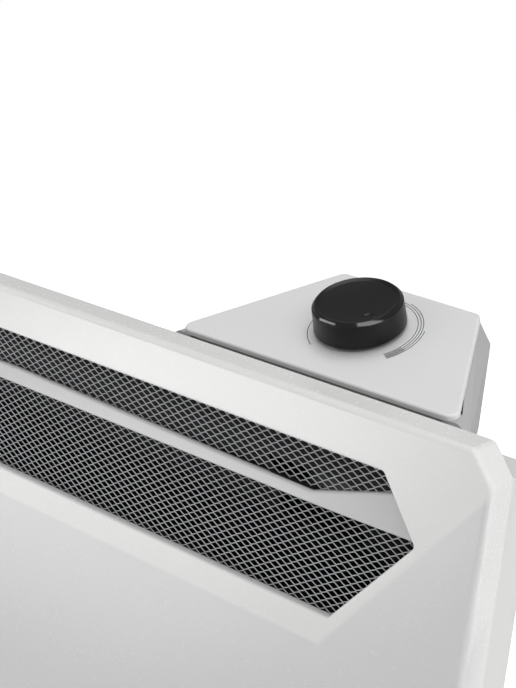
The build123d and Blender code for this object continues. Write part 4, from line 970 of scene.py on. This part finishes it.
def dimple(x, y):
    """Depth of the finger dimple in the dial's top."""
    centre_x = DIMPLE_REACH * math.cos(DIMPLE_ANGLE)
    centre_y = DIMPLE_REACH * math.sin(DIMPLE_ANGLE)
    away = math.hypot(x - centre_x, y - centre_y)
    share = min(1.0, max(0.0, (DIMPLE_RADIUS - away) / DIMPLE_WALL))
    return DIMPLE_DEPTH * share * share * (3 - 2 * share)


# The row of the dial's section where its chamfer starts, and its last row outside the dish
CHAMFER_ROW = 5
RIM_ROW = 9


def knob_section():
    """The dial's section from the cavity's ceiling round to the middle of the dish: radius and height."""
    s = sizes()
    base, shoulder = s.knob_base_radius, s.knob_shoulder_radius
    top = s.knob_gap + s.knob_height
    rim = shoulder - s.knob_chamfer
    foot = top - s.knob_chamfer
    section = [
        (base - KNOB_WALL, top - KNOB_CAVITY_DROP),
        (base - KNOB_WALL, s.knob_gap),
        (base - KNOB_FOOT_BEVEL, s.knob_gap),
        (base, s.knob_gap + KNOB_FOOT_BEVEL),
    ]
    section += [(shoulder + outwards, foot + up) for outwards, up in KNOB_LOWER_EDGE]
    section += [(rim + outwards, top + up) for outwards, up in KNOB_UPPER_EDGE]
    radius = rim - KNOB_RIM_WIDTH
    section.append((radius, top - KNOB_RIM_DROP))
    while radius > KNOB_INNER_RADIUS:
        radius -= KNOB_RING_STEP
        share = 1 - (radius / rim) ** 2
        section.append((radius, top - KNOB_RIM_DROP - KNOB_DISH * share))
    return section


def knob_mesh():
    """The dial: straight side, polished chamfer, hollowed top with a finger dimple, hollow underside."""
    facets = sizes().knob_facets
    bm = bmesh.new()
    rows = []
    for index, (radius, height) in enumerate(knob_section()):
        row = []
        for k in range(facets):
            angle = 2 * math.pi * k / facets
            x, y = radius * math.cos(angle), radius * math.sin(angle)
            drop = dimple(x, y) if index > RIM_ROW else 0.0
            row.append(bm.verts.new(on_plate(x, y, height - drop)))
        rows.append(row)
    join_rows(bm, rows)
    mesh = mesh_from("dial", bm)
    for face in mesh.polygons:
        rows_met = {vertex // facets for vertex in face.vertices}
        if rows_met == {CHAMFER_ROW, CHAMFER_ROW + 1}:
            face.material_index = 1
    return mesh


class HEATER_OT_dial(bpy.types.Operator):
    """Builds the turning dial and finishes its spindle"""

    bl_idname = "heater.dial"
    bl_label = "Dial"

    def execute(self, context):
        piece = add_piece(
            "dial_knob", knob_mesh(), finish("black_plastic"), ["control_knob"], "dial"
        )
        piece.data.materials.append(finish("polished_plastic"))
        weigh_normals(piece)
        coat_node("thermostat_spindle", "brass")
        return {"FINISHED"}


# The graduation's centre against the dial's, along and up the plate
PRINT_SHIFT = (1.43 * MM, 0.31 * MM)
# Printed arcs round the dial: radius in mm, first and last angle in degrees
PRINTED_ARCS = (
    (28.1, 130.0, -32.8),
    (29.06, -121.3, -230.0),
    (29.6, 100.0, -32.8),
    (30.95, 73.0, -32.8),
    (32.35, 20.3, -32.8),
    (28.85, -12.8, -32.8),
    (30.28, -12.8, -32.8),
    (31.65, -12.8, -32.8),
)
# How far the printed film stands above and below the plate's face, and one step along an arc in degrees
PRINT_HEIGHT = 0.03 * MM
PRINT_STEP = 2.5


def arc_ribbon(bm, radius, start, end, width, height):
    """A printed line along an arc, a thin raised film with a closed section."""
    steps = max(4, int(abs(end - start) / PRINT_STEP))
    rows = []
    for k in range(steps + 1):
        angle = math.radians(start + (end - start) * k / steps)
        direction = (math.cos(angle), math.sin(angle))
        row = []
        for r, w in (
            (radius - width / 2, -height),
            (radius + width / 2, -height),
            (radius + width / 2, height),
            (radius - width / 2, height),
        ):
            across = direction[0] * r + PRINT_SHIFT[0]
            row.append(bm.verts.new(on_plate(across, direction[1] * r + PRINT_SHIFT[1], w)))
        rows.append(row)
    join_rows(bm, rows)


class HEATER_OT_control_unit(bpy.types.Operator):
    """Finishes the control plate with its printed graduation and the housing below it"""

    bl_idname = "heater.control_unit"
    bl_label = "Control unit"

    def execute(self, context):
        bm = bmesh.new()
        for radius, start, end in PRINTED_ARCS:
            arc_ribbon(bm, radius * MM, start, end, sizes().print_line, PRINT_HEIGHT)
        film = mesh_from("dial_graduation", bm, False)
        add_piece("dial_graduation", film, finish("ink"))
        for node, key in (
            ("control_plate", "white_plastic"),
            ("control_housing", "housing_plastic_and_painted_shade"),
            ("thermostat_body", "inner_plastic"),
            ("thermostat_nut", "brass"),
            ("thermostat_bracket", "zinc"),
            ("thermostat_screws", "zinc_screw"),
            ("control_plug", "inner_plastic"),
            ("socket_contacts", "brass"),
            ("module_socket", "inner_plastic"),
            ("terminal_block", "white_plastic"),
            ("tip_switch", "inner_plastic"),
            ("cord_gland", "black_plastic"),
            ("control_screws", "zinc_screw"),
        ):
            coat_node(node, key)
        return {"FINISHED"}


class HEATER_OT_casing(bpy.types.Operator):
    """Finishes the rear casing, what is inside it and the wall bracket"""

    bl_idname = "heater.casing"
    bl_label = "Casing and bracket"

    def execute(self, context):
        for node, key in (
            ("rear_casing", "casing_coat"),
            ("casing_screws", "zinc_screw"),
            ("leg_nuts", "zinc_screw"),
            # The air guide and the back shield are coated black as painted shade of the cavity behind the
            # outlet
            ("air_guide", "black_coat_and_painted_shade"),
            ("back_shield", "black_coat_and_painted_shade"),
            ("heating_element", "aluminium"),
            ("heating_rod", "sheath"),
            ("element_bush_left", "ceramic"),
            ("element_bush_right", "ceramic"),
            ("element_bracket_left", "zinc"),
            ("element_bracket_right", "zinc"),
            ("element_screws", "zinc_screw"),
            ("cutout_bracket", "zinc"),
            ("overheat_cutout", "inner_plastic"),
            ("wall_bracket", "zinc"),
            ("wall_spacers", "grey_plastic"),
        ):
            coat_node(node, key)
        return {"FINISHED"}


# Studio

# The camera's axes and place in the part's frame
CAMERA_RIGHT = Vector((0.75871, 0.64506, 0.09089))
CAMERA_UP = Vector((-0.25069, 0.16033, 0.9547))
CAMERA_BACK = Vector((0.60126, -0.74712, 0.28335))
CAMERA_PLACE = Vector((0.6065, -0.5795, 0.6282))


def add_camera():
    data = bpy.data.cameras.new("camera")
    data.lens = studio().lens
    data.sensor_width = 36.0
    data.clip_start = 0.01
    data.clip_end = 30.0
    camera = bpy.data.objects.new("camera", data)
    bpy.context.scene.collection.objects.link(camera)
    matrix = Matrix((CAMERA_RIGHT, CAMERA_UP, CAMERA_BACK)).transposed().to_4x4()
    matrix.translation = CAMERA_PLACE
    camera.matrix_world = matrix
    bpy.context.scene.camera = camera


def add_lamp(name, place, target, width, height, power, roll=0.0):
    """A soft rectangular lamp that points at a place, turned about its own beam by a roll in degrees."""
    data = bpy.data.lights.new(name, "AREA")
    data.shape = "RECTANGLE"
    data.size = width
    data.size_y = height
    data.energy = power
    lamp = bpy.data.objects.new(name, data)
    bpy.context.scene.collection.objects.link(lamp)
    lamp.location = place
    lamp.rotation_mode = "QUATERNION"
    aim = (Vector(target) - Vector(place)).to_track_quat("-Z", "Y")
    lamp.rotation_quaternion = aim @ Quaternion((0, 0, 1), math.radians(roll))
    lamp.visible_camera = False


def floor_material():
    """Matt painted studio floor.

    The eye gets plain white with a soft grey shadow: a part of what the camera sees glows on its own.
    """
    material, tree, place = new_material("matt studio floor")
    clouds = add_node(tree, "ShaderNodeTexNoise", grain(400, 1.0), {"Vector": place})
    shades = tones(studio().floor, 0.995, 1.0)
    paint = add_node(tree, "ShaderNodeMix", shades, {0: clouds.outputs["Fac"]})
    surface = add_node(tree, "ShaderNodeBsdfDiffuse", links={"Color": paint.outputs[2]})
    light = add_node(
        tree, "ShaderNodeEmission", {"Color": (1, 1, 1, 1), "Strength": studio().floor_glow}
    )
    path = add_node(tree, "ShaderNodeLightPath")
    seen = add_node(tree, "ShaderNodeAddShader", links={0: surface.outputs[0], 1: light.outputs[0]})
    both = add_node(
        tree,
        "ShaderNodeMixShader",
        links={"Fac": path.outputs["Is Camera Ray"], 1: surface.outputs[0], 2: seen.outputs[0]},
    )
    add_node(tree, "ShaderNodeOutputMaterial", links={"Surface": both.outputs[0]})
    return material


def add_world():
    """Soft light all round, with a strength of its own from above, and plain white to the camera."""
    world = bpy.data.worlds.new("studio")
    bpy.context.scene.world = world
    world.use_nodes = True
    tree = world.node_tree
    tree.nodes.clear()
    place = add_node(tree, "ShaderNodeTexCoord").outputs["Generated"]
    parts = add_node(tree, "ShaderNodeSeparateXYZ", links={"Vector": place})
    level = add_node(
        tree,
        "ShaderNodeMapRange",
        {"From Min": -0.1, "From Max": 0.9, "To Min": studio().horizon, "To Max": studio().sky},
        {"Value": parts.outputs["Z"]},
    )
    light = add_node(tree, "ShaderNodeBackground", {"Color": (1, 1, 1, 1)}, {"Strength": level.outputs[0]})
    white = add_node(tree, "ShaderNodeBackground", {"Color": (1, 1, 1, 1), "Strength": 1.0})
    path = add_node(tree, "ShaderNodeLightPath")
    both = add_node(
        tree,
        "ShaderNodeMixShader",
        links={"Fac": path.outputs["Is Camera Ray"], 1: light.outputs[0], 2: white.outputs[0]},
    )
    add_node(tree, "ShaderNodeOutputWorld", links={"Surface": both.outputs[0]})


# Soft lamps: name, place and target in metres, width and height in metres, power in watts, and
# any roll in degrees
LAMPS = (
    ("floor_card_left", (-0.8, -0.98, 0.002), (-0.8, -0.98, 1.0), 0.4, 0.35, 4.6),
    ("floor_card_right", (-0.45, -0.98, 0.002), (-0.45, -0.98, 1.0), 0.3, 0.35, 2.7),
    ("floor_card_near", (-0.46, -0.58, 0.002), (-0.46, -0.58, 1.0), 0.56, 0.35, 1.2),
    ("front_left_box", (-1.046, -1.196, 1.0), (0.15, 0, 0.4), 1.3, 0.11, 2.2, 14.0),
    ("front_box", (-0.226, -2.164, 0.682), (0.1, 0, 0.3), 1.2, 0.8, 1.8),
    ("front_right_box", (1.228, -0.785, 1.528), (0.2, 0, 0.4), 1.6, 0.34, 5.8),
    ("right_box", (1.936, 0.126, 0.457), (0.2, 0, 0.35), 1.0, 0.6, 10.0),
    ("top_box", (0.1, -0.1, 2.2), (0.1, -0.1, 0.3), 1.4, 1.0, 13.5),
)
# The floor's radius in metres, and its level just below the part's underside
FLOOR_RADIUS = 6.0
FLOOR_LEVEL = -0.5 * MM


class HEATER_OT_stage(bpy.types.Operator):
    """Builds the camera, the floor and the studio light"""

    bl_idname = "heater.stage"
    bl_label = "Studio"

    def execute(self, context):
        context.scene.view_settings.view_transform = "Standard"
        add_camera()
        add_world()
        for lamp in LAMPS:
            add_lamp(*lamp)
        bm = bmesh.new()
        bmesh.ops.create_circle(bm, cap_ends=True, radius=FLOOR_RADIUS, segments=64)
        for vertex in bm.verts:
            vertex.co.z = FLOOR_LEVEL
        mesh = mesh_from("floor", bm, False)
        floor = bpy.data.objects.new("floor", mesh)
        context.scene.collection.objects.link(floor)
        mesh.materials.append(floor_material())
        return {"FINISHED"}


class HEATER_PT_sidebar(bpy.types.Panel):
    """Lists the pieces of the heater"""

    bl_idname = "HEATER_PT_sidebar"
    bl_label = "Convector heater"
    bl_space_type = "VIEW_3D"
    bl_region_type = "UI"
    bl_category = "Heater"

    def draw(self, context):
        for operator in OPERATORS:
            self.layout.operator(operator.bl_idname)
        for group in (sizes(), colours(), studio()):
            box = self.layout.box()
            for name in group.__annotations__:
                box.prop(group, name)


OPERATORS = (
    HEATER_OT_stage,
    HEATER_OT_front_panel,
    HEATER_OT_outlet,
    HEATER_OT_control_unit,
    HEATER_OT_dial,
    HEATER_OT_casing,
)
CLASSES = (HeaterSizes, HeaterColours, HeaterStudio, *OPERATORS, HEATER_PT_sidebar)


def register():
    for cls in CLASSES:
        bpy.utils.register_class(cls)
    bpy.types.Scene.heater_sizes = PointerProperty(type=HeaterSizes)
    bpy.types.Scene.heater_colours = PointerProperty(type=HeaterColours)
    bpy.types.Scene.heater_studio = PointerProperty(type=HeaterStudio)


def unregister():
    del bpy.types.Scene.heater_sizes
    del bpy.types.Scene.heater_colours
    del bpy.types.Scene.heater_studio
    for cls in reversed(CLASSES):
        bpy.utils.unregister_class(cls)


def main():
    register()
    for operator in OPERATORS:
        group, name = operator.bl_idname.split(".")
        getattr(getattr(bpy.ops, group), name)()


if __name__ == "__main__":
    main()
